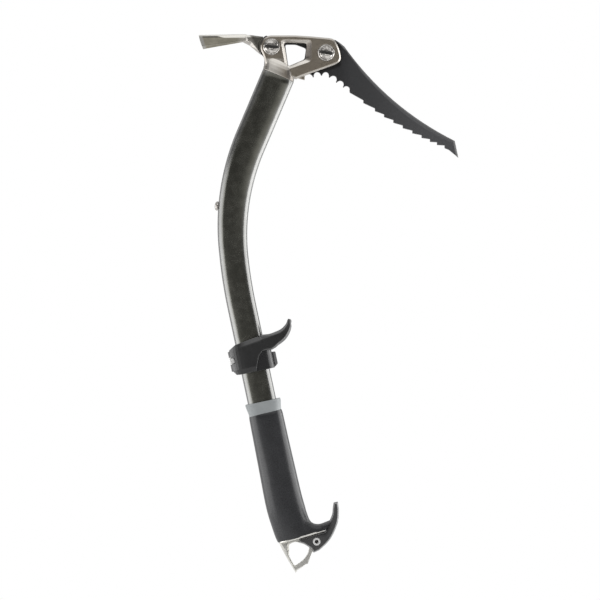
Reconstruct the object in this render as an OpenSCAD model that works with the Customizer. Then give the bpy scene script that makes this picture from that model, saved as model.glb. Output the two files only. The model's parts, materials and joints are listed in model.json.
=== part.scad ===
// Ice climbing tool: bent shaft, cast head with toothed pick and adze, moulded grip with spike and hook,
// and a finger rest that slides on the shaft and is clamped by a cam lever.
// +Z is up as the tool hangs in the hand, +X is the side of the pick, +Y is away from the viewer.
// The origin is on the axis of the lower shaft, in the middle of the grip.

/* [Shaft] */
// Lean of the lower shaft from upright, in degrees
shaft_lean = 12; // [8:0.5:16]
// Width of the lower shaft, seen from the side
shaft_w = 26.7; // [24:0.1:30]
// Width of the shaft at the head
shaft_top_w = 31; // [28:0.1:35]
// Depth of the shaft, seen from the front
shaft_d = 21; // [18:0.1:24]
// Thickness of the tube's wall
shaft_wall = 1.9; // [1.4:0.1:2.6]
// Straight tube above the middle of the grip
straight_len = 160.5; // [155:0.5:190]
// Tube below the middle of the grip
tail_len = 46; // [40:0.5:50]
// Radius of the slight lower bend
low_bend_r = 450; // [300:5:600]
// Turn of the slight lower bend, in degrees
low_bend = 6.5; // [4:0.5:9]
// Radius of the upper bend
top_bend_r = 212; // [180:1:260]
// Turn of the upper bend, in degrees
top_bend = 28.5; // [24:0.5:33]
// Straight neck under the head
neck_len = 66; // [50:0.5:90]
// Place of the spine screw, along the shaft from the middle of the grip
stud_at = 253; // [200:1:290]
// Diameter of the spine screw's dome
stud_d = 8.6; // [7:0.1:10]

/* [Head] */
// Thickness over both cheeks
head_t = 14; // [12.6:0.1:17]
// Rear bolt, back from the middle of the shaft's end
rear_bolt_x = 6.3; // [4:0.1:8]
// Rear bolt, up from the middle of the shaft's end
rear_bolt_z = 26.5; // [25:0.1:30]
// Front bolt, forward of the rear one
bolt_span = 50.6; // [48:0.1:56]
// Front bolt, down from the rear one
bolt_drop = 5.6; // [4:0.1:7]
// Radius of the rounded rear end
rear_r = 10.5; // [10:0.1:11.5]
// Angle between the neck and the head's upright, in degrees
neck_angle = 23; // [20:0.5:26]
// Length of the tenon inside the shaft
head_tenon = 26; // [15:0.5:30]
// Height of the scooped socket on the sides of the head
socket_h = 14; // [10:0.1:16]
// Bevel round the cheeks
head_bevel = 1.5; // [0.6:0.1:2]
// Depth of the bevel round the window
window_bevel = 2.8; // [1:0.1:3.2]

/* [Pick] */
// Thickness of the blade
pick_t = 4; // [3:0.1:5]
// Point of the pick, forward of the front bolt
pick_reach = 122.8; // [110:0.1:135]
// Point of the pick, down from the front bolt
pick_fall = 97.3; // [88:0.1:106]
// Height of the teeth
tooth_h = 2.5; // [1.5:0.1:3.2]
// Depth of the scallops in the throat
scallop_h = 4; // [3:0.1:4.4]
// Width of the bevel along the back of the blade
back_bevel = 2.4; // [1:0.1:3]

/* [Adze] */
// Cutting edge, back from the rear bolt
adze_reach = 67.4; // [58:0.1:75]
// Width of the cutting edge
adze_w = 48; // [36:0.5:60]
// Drop of the scoop's sides at the cutting edge
adze_drop = 11.4; // [9:0.1:14]
// Thickness of the scoop
adze_t = 3; // [2:0.1:4]
// Thickness of the gooseneck
neck_t = 11; // [9:0.1:13]
// Thickness of each tine of the fork
tine_t = 2; // [1.5:0.1:2.4]

/* [Bolts] */
// Diameter of the bolt shanks
bolt_d = 8; // [6:0.1:9]
// Diameter of the bolt heads
bolt_head_d = 15.4; // [13:0.1:17]
// Height of the bolt heads
bolt_head_h = 3.8; // [2.8:0.1:4.6]
// Width of the screwdriver slots
bolt_slot_w = 2.8; // [1.6:0.1:3.4]
// Nut, across its flats
nut_af = 13; // [11:0.1:15]
// Height of the nuts
nut_h = 4.5; // [3:0.1:6]

/* [Grip] */
// Top of the grey ring above the middle of the grip
ring_top = 70.5; // [64:0.5:72]
// Height of the grey ring
ring_h = 11.8; // [8:0.1:15]
// Rubber behind the shaft
grip_back = 2.6; // [2:0.1:4]
// Rubber in front of the shaft
grip_front = 3.6; // [2.5:0.1:5]
// Rubber on each side of the shaft
grip_side = 3.2; // [2:0.1:5]
// Bottom of the grip below its middle
grip_low = 60.5; // [56:0.5:66]
// Depth of the rubber toe over the hook
toe_t = 17; // [12:0.1:20]

/* [Spike] */
// Thickness of the blade
spike_t = 6; // [4.5:0.1:8]
// Point of the spike below the flange
spike_len = 30.9; // [28:0.1:38]
// Thickness of the flange under the grip
flange_t = 1.4; // [1:0.1:2]
// Length of the tenon above the flange
spike_tenon = 42; // [34:0.5:48]
// Wall of the hollow tenon
tenon_wall = 3; // [2:0.1:4]
// Diameter of the cross pins
pin_d = 5; // [3:0.1:6]

/* [Hook] */
// Thickness of the hook
hook_t = 14; // [11:0.1:17]
// Bevel along the edges of the hook
hook_bevel = 2.6; // [1:0.1:3]
// Front of the hook from the shaft's axis
hook_reach = 49; // [46:0.1:54]
// Diameter of the hook screw's head
hook_head_d = 7; // [6:0.1:8]
// Diameter of the hook screw
hook_screw_d = 4; // [3:0.1:4.5]

/* [Finger rest] */
// Bottom of the collar above the middle of the grip
rest_at = 99; // [97:0.5:104]
// Height of the collar at the spine
rest_h = 28; // [27:0.1:31]
// Band between shaft and collar, on the sides and the spine
band_wall = 2.2; // [1.6:0.1:3]
// Band in front of the shaft
band_front = 5; // [4:0.1:6]
// Collar wall over the band
rest_wall = 2; // [1.6:0.1:3]
// Spine lugs behind the shaft
lug_back = 7.9; // [7.6:0.1:9]
// Reach of the horn in front of the shaft
horn_reach = 28.6; // [22:0.1:34]
// Depth of the horn at its root
horn_d = 25; // [18:0.1:28]
// Slit in the collar and the band
slit_w = 2; // [1:0.1:3]
// Diameter of the anchor bar
bar_d = 4.2; // [3.6:0.1:4.6]
// Diameter of the tension screw
tension_d = 2.5; // [2:0.1:2.8]
// Diameter of the cam barrel
barrel_d = 4.2; // [3.8:0.1:4.6]
// Thickness of the lever
lever_t = 3; // [2:0.1:4]

/* [Fits] */
// Gap of a bonded or bolted joint
bond_gap = 0.15; // [0.1:0.01:0.25]
// Gap round the bolts in their holes
bolt_gap = 0.2; // [0.1:0.01:0.4]
// Gap of the sliding collar on the shaft
slide_gap = 0.3; // [0.2:0.01:0.5]
// Gap of a turning fit
run_gap = 0.05; // [0.02:0.01:0.1]
// Gap between the lever and the collar
lever_gap = 0.5; // [0.4:0.01:0.8]

/* [Hidden] */
$fn = 48;
sides = 36;
squareness = 2.6;
over = 1;
shaft_r = shaft_w / 2;
end_lean = low_bend + top_bend - shaft_lean;
low_len = low_bend_r * low_bend * PI / 180;
top_len = top_bend_r * top_bend * PI / 180;
low_end = straight_len + low_len;
top_end = low_end + top_len;
shaft_len = top_end + neck_len;
rear_bolt = [-rear_bolt_x, rear_bolt_z];
front_bolt = rear_bolt + [bolt_span, -bolt_drop];

// Curves in the plane of the view, as lists of points

function arc(c, r, a0, a1, n) = [for (i = [0:n]) let (a = a0 + (a1 - a0) * i / n) c + r * [cos(a), sin(a)]];

// A smooth curve through a few points, k steps from each to the next
function curve_at(a, b, c, d, t) =
    b + (c - a) * t / 2 + (2 * a - 5 * b + 4 * c - d) * t * t / 2 + (3 * b - a - 3 * c + d) * t * t * t / 2;
function smooth(p, k) = let (n = len(p)) concat(
    [for (i = [0:n - 2]) for (j = [0:k - 1])
        curve_at(p[max(i - 1, 0)], p[i], p[i + 1], p[min(i + 2, n - 1)], j / k)],
    [p[n - 1]]);

// A bowed line from a to b that stands off its chord by sag, to the left of its run
function bowed(a, b, sag, n) = let (d = (b - a) / norm(b - a))
    [for (i = [0:n]) let (t = i / n) a + (b - a) * t + [-d[1], d[0]] * 4 * sag * t * (1 - t)];

// A half-round hollow between the cusps a and b, h deep, to the right of its run
function hollow(a, b, h, n) = let (l = norm(b - a), d = (b - a) / l)
    [for (i = [0:n]) let (t = 180 * i / n)
        (a + b) / 2 - d * (l / 2 - cusp) * cos(t) + [d[1], -d[0]] * h * sin(t)];

// A polygon with each corner cut back by c and rounded
function softened(p, c, k) = let (n = len(p)) [for (i = [0:n - 1])
    let (q = p[i], a = p[(i + n - 1) % n] - q, b = p[(i + 1) % n] - q)
    let (u = q + a / norm(a) * c, v = q + b / norm(b) * c)
    for (j = [0:k]) let (t = j / k) u * (1 - t) * (1 - t) + q * 2 * t * (1 - t) + v * t * t];

// A clockwise outline drawn in by a distance, one for all points or one for each
function inward(a, b) = [b[1] - a[1], a[0] - b[0]] / norm(b - a);
function drawn_in(p, by) = let (n = len(p)) [for (i = [0:n - 1])
    let (u = inward(p[(i + n - 1) % n], p[i]), v = inward(p[i], p[(i + 1) % n]))
    p[i] + (u + v) / max(0.5, 1 + u * v) * (is_list(by) ? by[i] : by)];

// Solids skinned over rings of points

function flat(l) = [for (a = l) each a];
function oval(w, d, n = sides) = [for (i = [0:n - 1])
    let (a = 360 * (i + 0.5) / n, c = cos(a), s = sin(a), e = 2 / squareness)
    [sign(c) * pow(abs(c), e) * w / 2, sign(s) * pow(abs(s), e) * d / 2]];
function chamfered(a, b, k) = [[a, b * k], [a * k, b], [-a * k, b], [-a, b * k],
    [-a, -b * k], [-a * k, -b], [a * k, -b], [a, -b * k]];
function ring(p, lean, o) = [for (q = o) [p[0] + cos(lean) * q[0], q[1], p[1] - sin(lean) * q[0]]];
function side_faces(m, n, from = 0) = [for (j = [0:m - 2]) for (i = [0:n - 1])
    let (a = from + j * n + i, b = from + j * n + (i + 1) % n)
    each [[a, a + n, b + n], [a, b + n, b]]];
function turned(faces) = [for (f = faces) [f[2], f[1], f[0]]];
function strip_cap(n, from) = [for (i = [0:n / 2 - 2])
    each [[from + i, from + i + 1, from + n - 2 - i], [from + i, from + n - 2 - i, from + n - 1 - i]]];

module skin(rings) {
    m = len(rings);
    n = len(rings[0]);
    polyhedron(flat(rings), concat(side_faces(m, n), strip_cap(n, 0), turned(strip_cap(n, (m - 1) * n))));
}

module tube(outer, inner) {
    m = len(outer);
    n = len(outer[0]);
    last = (m - 1) * n;
    low_cap = [for (i = [0:n - 1]) let (k = (i + 1) % n)
        each [[i, k, m * n + k], [i, m * n + k, m * n + i]]];
    high_cap = [for (f = low_cap) [f[2] + last, f[1] + last, f[0] + last]];
    polyhedron(concat(flat(outer), flat(inner)),
        concat(side_faces(m, n), turned(side_faces(m, n, m * n)), low_cap, high_cap));
}

// A clockwise outline split into triangles, one corner cut off at a time
function side_of(a, b, p) = (b[0] - a[0]) * (p[1] - a[1]) - (b[1] - a[1]) * (p[0] - a[0]);
function blocks(p, a, b, c) = side_of(a, b, p) <= 0 && side_of(b, c, p) <= 0 && side_of(c, a, p) <= 0;
function corner(left, i) = let (n = len(left)) [left[(i + n - 1) % n], left[i], left[(i + 1) % n]];
function can_cut(p, left, t) = side_of(p[t[0]], p[t[1]], p[t[2]]) < 0 && len([for (k = left)
    if (k != t[0] && k != t[1] && k != t[2] && blocks(p[k], p[t[0]], p[t[1]], p[t[2]])) k]) == 0;
function first_cut(p, left, i = 0) = can_cut(p, left, corner(left, i)) ? i : first_cut(p, left, i + 1);
function cut_corners(p, left) = len(left) == 3 ? [left] : let (i = first_cut(p, left))
    concat([corner(left, i)], cut_corners(p, [for (k = [0:len(left) - 1]) if (k != i) left[k]]));

// A flat plate with a clockwise outline, whose rim is drawn in on both faces over the depth of the bevel
module bevel_plate(p, t, depth, by) {
    n = len(p);
    small = drawn_in(p, by);
    levels = [[small, -t / 2], [p, depth - t / 2], [p, t / 2 - depth], [small, t / 2]];
    cap = cut_corners(small, [for (i = [0:n - 1]) i]);
    polyhedron(flat([for (l = levels) [for (q = l[0]) [q[0], l[1], q[1]]]]),
        concat(side_faces(4, n), cap, turned([for (f = cap) f + 3 * n * [1, 1, 1]])));
}

module plate(t) rotate([90, 0, 0]) linear_extrude(t, center = true) children();
module across(c, y0, y1, r) translate([c[0], y0, c[1]]) rotate([-90, 0, 0]) cylinder(r = r, h = y1 - y0);

// The shaft's centreline, u along it from the middle of the grip

function run(p, lean, l) = p + l * [sin(lean), cos(lean)];
function bend(p, from, to, r) = p + r * [cos(from) - cos(to), sin(to) - sin(from)];
function lean_at(u) = u < straight_len ? -shaft_lean
    : u < low_end ? -shaft_lean + (u - straight_len) / low_len * low_bend
    : u < top_end ? low_bend - shaft_lean + (u - low_end) / top_len * top_bend
    : end_lean;
bend_start = run([0, 0], -shaft_lean, straight_len);
bend_middle = bend(bend_start, -shaft_lean, low_bend - shaft_lean, low_bend_r);
bend_stop = bend(bend_middle, low_bend - shaft_lean, end_lean, top_bend_r);
function point_at(u) = u < straight_len ? run([0, 0], -shaft_lean, u)
    : u < low_end ? bend(bend_start, -shaft_lean, lean_at(u), low_bend_r)
    : u < top_end ? bend(bend_middle, low_bend - shaft_lean, lean_at(u), top_bend_r)
    : run(bend_stop, end_lean, u - top_end);
function width_at(u) = u < low_end ? shaft_w
    : u < top_end ? shaft_w + (shaft_top_w - shaft_w) * (u - low_end) / top_len
    : shaft_top_w;
low_steps = 4;
top_steps = 14;
stations = concat([-tail_len], [for (i = [0:low_steps - 1]) straight_len + low_len * i / low_steps],
    [for (i = [0:top_steps]) low_end + top_len * i / top_steps], [shaft_len]);
function shaft_rings(grow) = [for (u = stations)
    ring(point_at(u), lean_at(u), oval(width_at(u) + 2 * grow, shaft_d + 2 * grow))];

module on_lower_shaft() rotate([0, -shaft_lean, 0]) children();
module on_shaft(u) translate([point_at(u)[0], 0, point_at(u)[1]]) rotate([0, lean_at(u), 0]) children();
module on_head() on_shaft(shaft_len) rotate([0, -neck_angle, 0]) children();
module lower_section(grow) polygon(oval(shaft_w + 2 * grow, shaft_d + 2 * grow));

// Shaft

stud_shank = stud_d * 0.45;
insert_d = stud_d - 2.4;
stud_rim = stud_d * 0.14;
stud_rise = stud_d * 0.25;
insert_len = 8;
pin_at = [-tail_len + 8, -tail_len + 20];

module shaft() color("#3a3a38") difference() {
    tube(shaft_rings(0), shaft_rings(-shaft_wall));
    on_shaft(stud_at) rotate([0, -90, 0]) cylinder(d = insert_d + 2 * bond_gap, h = shaft_top_w);
    on_lower_shaft() for (s = pin_at) translate([0, 0, s]) rotate([90, 0, 0]) rotate(90)
        cylinder(r = pin_d / 2 + bond_gap, h = 2 * shaft_d, center = true);
}

module at_stud() on_shaft(stud_at) translate([-width_at(stud_at) / 2, 0, 0]) rotate([0, -90, 0]) children();

module spine_screw() color("#c9c9c6") at_stud() rotate_extrude() polygon(concat(
    [[0, -insert_len + over], [stud_shank / 2, -insert_len + over], [stud_shank / 2, bond_gap],
        [stud_d / 2, bond_gap], [stud_d / 2, stud_rim]],
    [for (a = [15:15:90]) [stud_d / 2 * cos(a), stud_rim + stud_rise * sin(a)]]));

module spine_insert() color("#9a9a96") at_stud() difference() {
    translate([0, 0, -insert_len]) cylinder(d = insert_d, h = insert_len);
    translate([0, 0, -insert_len - over])
        cylinder(d = stud_shank + 2 * bond_gap, h = insert_len + 2 * over);
}

// Head

tail_r = rear_r + 1.3;
fork_half = pick_t / 2 + tine_t + 2 * bond_gap;
tine_r = bolt_d / 2 + 4.4;
tang_top = rear_bolt + [4.3, 7.5];
tang_front = front_bolt + [-2.3, 11.1];
pick_heel = front_bolt + [-20.6, -24.4];
joint_in = shaft_top_w / 2 - 2.6;
joint_up = [sin(neck_angle), cos(neck_angle)] * 3.2;
joint_back = [-cos(neck_angle), sin(neck_angle)] * joint_in;

function head_outline() = concat(
    [joint_up + joint_back], smooth([rear_bolt + [-6.2, -14.6], rear_bolt + [-7.2, -9.6],
        rear_bolt + rear_r * [cos(205), sin(205)]], 3),
    arc(rear_bolt, rear_r, 195, 90, 10),
    [rear_bolt + [22, rear_r], front_bolt + [-14, 15.2]],
    smooth([for (q = [[2.4, 13.7], [7.2, 12.2], [10.8, 6.3], [12.9, 0.2], [13.6, -5.1], [12, -8.8],
        [8, -11.2]]) front_bolt + q], 3),
    [front_bolt + [-20, -21], front_bolt + [-28, -24.2], joint_up - joint_back]);

module slot_outline() polygon(concat(
    arc(rear_bolt, tail_r + bond_gap, 230, 115, 12),
    [tang_top + [0, bond_gap], tang_front + [0, bond_gap], front_bolt + [2, 30], front_bolt + [60, 30],
        front_bolt + [60, -40], pick_heel + [-bond_gap, -16], pick_heel + [-bond_gap, 7 - bond_gap],
        [5.5, 5.5 - bond_gap], [-3, 14 - bond_gap]]));

// Window of the head: corners of the opening and of its bevel's rim
function window_corners() = [[5.2, 30.4], front_bolt + [-18, 8.7], front_bolt + [-19.3, -5.9], [9, 8.2]];
function window_rim() = [[3, 33.2], front_bolt + [-13.3, 11.9], front_bolt + [-13.3, -5.5], [9, 7.2]];
function level(p, y) = [for (q = p) [q[0], y, q[1]]];

module head_window() {
    hole = softened(window_corners(), 2.6, 4);
    rim = softened(window_rim(), 3.2, 4);
    skin([level(rim, -head_t / 2 - 0.01), level(hole, window_bevel - head_t / 2),
        level(hole, head_t / 2 - window_bevel), level(rim, head_t / 2 + 0.01)]);
}

// The socket leans back as it rises from the shaft's section and sinks into the cheeks along an arch
socket_lean = 6;
socket_end_d = head_t - 1;
function socket_rings() = [for (k = [0, 0.25, 0.5, 0.7, 0.85, 1])
    let (depth = shaft_d - (shaft_d - socket_end_d) * k * k, back = socket_lean * pow(k, 1.5))
    ring(run([0, 0], neck_angle, socket_h * k), neck_angle,
        [for (q = oval(shaft_top_w - 1.8 * k, depth)) q - [back, 0]])];

module head() color("#a39d95") on_head() difference() {
    union() {
        bevel_plate(head_outline(), head_t, head_bevel, head_bevel);
        skin(socket_rings());
        rotate([0, neck_angle, 0]) translate([0, 0, -head_tenon]) linear_extrude(head_tenon + over)
            polygon(oval(shaft_top_w - 2 * (shaft_wall + bond_gap), shaft_d - 2 * (shaft_wall + bond_gap)));
        plate(pick_t + 4) polygon([pick_heel + [0.8, -0.8], pick_heel + [-7, 1.2],
            pick_heel + [-7, 9], pick_heel + [0.8, 9]]);
    }
    plate(pick_t + 2 * bond_gap) slot_outline();
    plate(2 * fork_half) polygon(concat(arc(rear_bolt, tine_r + bond_gap, 90, -90, 16),
        [rear_bolt + [-20, -tine_r - bond_gap], rear_bolt + [-20, tine_r + bond_gap]]));
    head_window();
    for (c = [rear_bolt, front_bolt]) {
        across(c, -head_t, head_t, bolt_d / 2 + bolt_gap);
        across(c, -head_t, bolt_sink - head_t / 2, bolt_head_d / 2 + bolt_gap);
    }
}

// Pick

cusp = 0.5;
first_tooth = 4.2;
tooth_bow = 4;
back_bow = 8.4;
teeth_pitch = [7.5, 7, 8.5, 9.5, 10, 10, 10, 10, 13, 15.5];
throat = [[-20.6, -24.4], [-11.8, -22.6], [-4.3, -20.9], [2.9, -22.7], [9.3, -27.4], [15.8, -32],
    [22, -35]];
throat_points = [for (p = throat) front_bolt + p];
last_scallop = len(throat) - 2;
pick_tip = front_bolt + [pick_reach, -pick_fall];
nose = pick_tip + [-3.4, 15.8];
shoulder = front_bolt + [16.9, 6.1];
tooth_start = pick_tip + [-9, 7.4];
tooth_end = front_bolt + [21.9, -36.9];

function sum_to(v, n) = n == 0 ? 0 : v[n - 1] + sum_to(v, n - 1);
tooth_run = sum_to(teeth_pitch, len(teeth_pitch));
function tooth_tip(i) = let (d = tooth_end - tooth_start)
    let (t = (sum_to(teeth_pitch, i) + first_tooth) / (tooth_run + first_tooth))
    tooth_start + d * t - [d[1], -d[0]] / norm(d) * 4 * tooth_bow * t * (1 - t);
function teeth() = concat(
    [for (i = [0:len(teeth_pitch) - 1]) each [tooth_tip(i), tooth_tip(i) + [0, tooth_h]]],
    [tooth_end]);
function blade_back() = concat(
    smooth([tang_front, front_bolt + [2, 12.7], front_bolt + [9, 11.9], shoulder], 3),
    [for (i = [1:16]) bowed(shoulder, nose, -back_bow, 16)[i]]);
function pick_front() = concat(arc(rear_bolt, tail_r, 230, 115, 12), [tang_top]);
function pick_under() = concat([pick_tip, tooth_start], teeth(),
    [for (i = [last_scallop:-1:0])
        each hollow(throat_points[i + 1], throat_points[i], scallop_h * (i == last_scallop ? 0.65 : 1), 8)],
    [pick_heel, pick_heel + [0, 7], [5.5, 5.5], [-3, 14]]);
function pick_outline() = concat(pick_front(), blade_back(), pick_under());
function pick_bevels() = concat([for (p = pick_front()) 0.2], [for (p = blade_back()) back_bevel * min(1,
    max(0.1, (p[0] - front_bolt[0] - 8) / 12))], [for (p = pick_under()) 0.2]);

module pick() color("#3f3f41") on_head() difference() {
    bevel_plate(pick_outline(), pick_t, pick_t * 0.35, pick_bevels());
    plate(pick_t + over) polygon(softened([[6.3, 28.6], [16, 28.6], front_bolt + [-18.7, 4.1],
        front_bolt + [-20.1, -5.9], [9.2, 8.6]], 1.8, 3));
    for (c = [rear_bolt, front_bolt]) across(c, -pick_t, pick_t, bolt_d / 2 + bolt_gap);
}

// Adze

root_r = tail_r + 2 * bond_gap;
scoop_root = rear_bolt + [-24, 11.8];
scoop_len = adze_reach - 24;
edge_set_back = 3.2;
arch_steps = 7;

// One section of the scoop, k from its root to its cutting edge
root_half = 8;
scoop_square = 5;
root_drop = 6.4;
function scoop_ring(k, t, back) =
    let (w = root_half + (adze_w / 2 - root_half) * pow(k, 0.85), wi = w - 0.8 * t)
    let (x = scoop_root[0] - scoop_len * k, top = scoop_root[1] - 1.1 * k)
    let (drop = root_drop + (adze_drop - root_drop) * k)
    concat(
        [for (i = [-arch_steps:arch_steps]) let (v = sin(90 * i / arch_steps))
            [x + back * pow(v, 6), w * v, top - drop * pow(abs(v), scoop_square)]],
        [for (i = [arch_steps:-1:-arch_steps]) let (v = sin(90 * i / arch_steps))
            [x + back * pow(v, 6), wi * v, top - t - (drop - t) * pow(abs(v), scoop_square)]]);

// The scoop starts small inside the gooseneck
function scoop_start() = [for (q = scoop_ring(0, adze_t, 0)) [q[0] + 6, q[1] * 0.4, q[2] - 2.6]];

function gooseneck() = concat(
    [scoop_root + [-5, -1.6], scoop_root + [4, -0.7], scoop_root + [11, -1.6]],
    arc(rear_bolt, root_r, 128, 220, 8),
    [rear_bolt + [-13.3, -4.7], rear_bolt + [-20.4, 1.4], rear_bolt + [-26.5, 4.4], rear_bolt + [-29, 5]]);

// Bevels of the gooseneck: narrow on top and round the bolt, wide along the throat under the scoop
function gooseneck_bevels() = concat([1.2, 1.4, 1.4], [for (i = [0:8]) 0.4], [1.6, 3.4, 4.2, 2.4]);

module adze() color("#8d8b84") on_head() difference() {
    union() {
        skin(concat(
            [scoop_start()],
            [for (k = [0, 0.2, 0.4, 0.6, 0.8]) scoop_ring(k, adze_t, edge_set_back * k * k)],
            [scoop_ring(0.9, adze_t, edge_set_back * 0.81), scoop_ring(1, adze_t * 0.25, edge_set_back)]));
        bevel_plate(gooseneck(), neck_t, neck_t * 0.3, gooseneck_bevels());
        for (y = [-1, 1]) translate([0, y * (pick_t / 2 + bond_gap + tine_t / 2), 0]) plate(tine_t)
            polygon(concat(arc(rear_bolt, tine_r, 90, -90, 16),
                [rear_bolt + [-root_r - 1, -3.4], rear_bolt + [-root_r - 1, tine_r]]));
    }
    across(rear_bolt, -head_t, head_t, bolt_d / 2 + bolt_gap);
}

// Pick bolts

bolt_sink = 0.8;
slot_depth = 1.8;
rim_w = 0.9;
rim_h = 1;
function dome(r, h, n) = [for (i = [0:n]) let (a = 90 * i / n) [r * cos(a), h * sin(a)]];

module pick_bolt(c, slot_turn) on_head() translate([c[0], bolt_sink - head_t / 2, c[1]]) rotate([90, 0, 0])
    difference() {
        rotate_extrude() polygon(concat(
            [[0, -head_t - nut_h + bolt_sink], [bolt_d / 2, -head_t - nut_h + bolt_sink], [bolt_d / 2, 0],
                [bolt_head_d / 2, 0], [bolt_head_d / 2, bolt_sink + 0.3],
                [bolt_head_d / 2 - rim_w, bolt_sink + rim_h]],
            [for (p = dome(bolt_head_d / 2 - rim_w - 0.5, bolt_head_h - bolt_sink - rim_h + 0.2, 5))
                p + [0, bolt_sink + rim_h - 0.2]]));
        translate([0, 0, bolt_head_h]) rotate([0, 0, slot_turn])
            cube([bolt_head_d, bolt_slot_w, 2 * slot_depth], center = true);
    }

module pick_nut(c) on_head() translate([c[0], head_t / 2, c[1]]) rotate([-90, 0, 0]) difference() {
    union() {
        cylinder(d = nut_af / cos(30), h = nut_h, $fn = 6);
        cylinder(d = nut_af / cos(30) + 2, h = 1.2);
    }
    translate([0, 0, -over]) cylinder(d = bolt_d + 2 * run_gap, h = nut_h + 2 * over);
}

module rear_bolt() color("#bdb9b3") pick_bolt(rear_bolt, -5);
module front_bolt() color("#bdb9b3") pick_bolt(front_bolt, -10);
module rear_nut() color("#9d9a95") pick_nut(rear_bolt);
module front_nut() color("#9d9a95") pick_nut(front_bolt);

// Grip, drawn upright along the lower shaft's axis

back_edge = shaft_r + grip_back;
front_edge = shaft_r + grip_front;
rubber_top = ring_top - ring_h;
floor_back = [-shaft_r + 1.4, -grip_low];
floor_front = [hook_reach - 16.6, -grip_low + 2.6];
toe_tip = [hook_reach - 10.9, 9.7 - grip_low];

// Everything under the grip: the flange's upper face, then the inner side of the hook
function under_grip() = [floor_back + [-20, 1.2], floor_back, floor_front,
    toe_tip + (toe_tip - floor_front) * 0.3, toe_tip + [12, 8], toe_tip + [12, -60],
    floor_back + [-20, -40]];

// Height, how far the back and the front stand off their edges, and how far the sides do
function grip_edges() = let (mid = -grip_low * 0.3) [
    [rubber_top, 1.6, -0.8, -0.6],
    [rubber_top - 7, 1.1, -0.5, -0.2],
    [rubber_top * 0.55, 0.7, -0.3, 0],
    [rubber_top * 0.1, 0.1, 0.2, 0.2],
    [mid, -0.5, 0.7, 0.2],
    [mid - 14, -0.3, 1.5, 0.2],
    [mid - 26, 0.8, 2.9, 0],
    [-grip_low + 4, 2.4, 5, -0.4],
    [-grip_low - 3, 4.6, 7, -1]];
function grip_rings() = [for (e = smooth(grip_edges(), 2))
    let (back = e[1] - back_edge, front = e[2] + front_edge)
    [for (q = oval(front - back, shaft_d + 2 * (grip_side + e[3])))
        [q[0] + (back + front) / 2, q[1], e[0]]]];
function reversed(l) = [for (i = [len(l) - 1:-1:0]) l[i]];

module grip() color("#2b2c2e") on_lower_shaft() difference() {
    union() {
        skin(reversed(grip_rings()));
        bevel_plate(concat([[shaft_r - 3, 17 - grip_low]],
            smooth([[front_edge + 1.2, 17 - grip_low], [front_edge + 4.8, 11 - grip_low],
                [front_edge + 9.4, 8.6 - grip_low], [floor_front[0] - 1.6, 8.5 - grip_low],
                toe_tip + [3, 0.5]], 3),
            [floor_front + [6, -2], [shaft_r - 3, -grip_low]]), toe_t, toe_t * 0.24, 2);
    }
    plate(4 * shaft_d) polygon(under_grip());
    translate([0, 0, -tail_len]) linear_extrude(4 * grip_low) lower_section(bond_gap);
    translate([0, 0, -2 * grip_low]) linear_extrude(4 * grip_low) lower_section(-shaft_wall);
}

module grip_ring() color("#b4b8ba") on_lower_shaft() difference() {
    skin([for (e = [[rubber_top, -1.2, -0.8], [rubber_top + 2, -1.4, -1], [ring_top - 2.4, 0, 0.4],
        [ring_top, 0, 0.4]])
        [for (q = oval(back_edge + front_edge + e[1] + e[2], shaft_d + 2 * grip_side + e[1]))
            [q[0] + (front_edge - back_edge + e[2] - e[1]) / 2, q[1], e[0]]]]);
    translate([0, 0, rubber_top - over]) linear_extrude(ring_h + 2 * over) lower_section(bond_gap);
}

// Spike

spike_tip = floor_back + [9.4, -spike_len];
tenon_floor = 5;
tongue_end = floor_front + [-2, -8];

module spike() color("#c4c3bd") on_lower_shaft() difference() {
    union() {
        plate(spike_t) polygon([floor_back, floor_back + [1.7, -7], floor_back + [4.3, -15.5], spike_tip,
            spike_tip + [2, 1.8], spike_tip + [11, 5.8],
            spike_tip + [12.8, 5.8], spike_tip + [18.7, 15.1], tongue_end + [-6, -5], tongue_end,
            floor_front + [0, -flange_t]]);
        plate(shaft_d - 1) polygon([floor_back, floor_front, floor_front + [0, -flange_t],
            floor_back + [0.8, -flange_t]]);
        translate([0, 0, -grip_low]) linear_extrude(spike_tenon) lower_section(-shaft_wall - bond_gap);
    }
    translate([0, 0, tenon_floor - grip_low]) linear_extrude(spike_tenon)
        lower_section(-shaft_wall - bond_gap - tenon_wall);
    plate(2 * spike_t) polygon(softened([
        floor_back + [8.6, -3.9], floor_back + [15, -2.6], floor_back + [27.2, -9], spike_tip + [14.7, 14.8],
        spike_tip + [9.6, 10.1], spike_tip + [0.4, 6.1], floor_back + [6.7, -14.9]], 1.8, 3));
    for (s = pin_at) across([0, s], -shaft_d, shaft_d, pin_d / 2 + bond_gap);
    across(hook_hole, -shaft_d, shaft_d, hook_screw_d / 2 + bond_gap);
}

module spike_pins() color("#8f8f8c") on_lower_shaft() for (s = pin_at)
    across([0, s], -shaft_d / 2, shaft_d / 2, pin_d / 2);

// Hook

hook_hole = floor_front + [-9.8, -9.1];
hook_tip = [hook_reach + 0.4, 25.2 - grip_low];
screw_sink = 2.5;
nut_sink = 3;
nut_inset = 0.4;

floor_slope = (floor_front[1] - floor_back[1]) / (floor_front[0] - floor_back[0]);
function under_flange(t) = floor_front + [t, t * floor_slope - flange_t - bond_gap];

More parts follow.
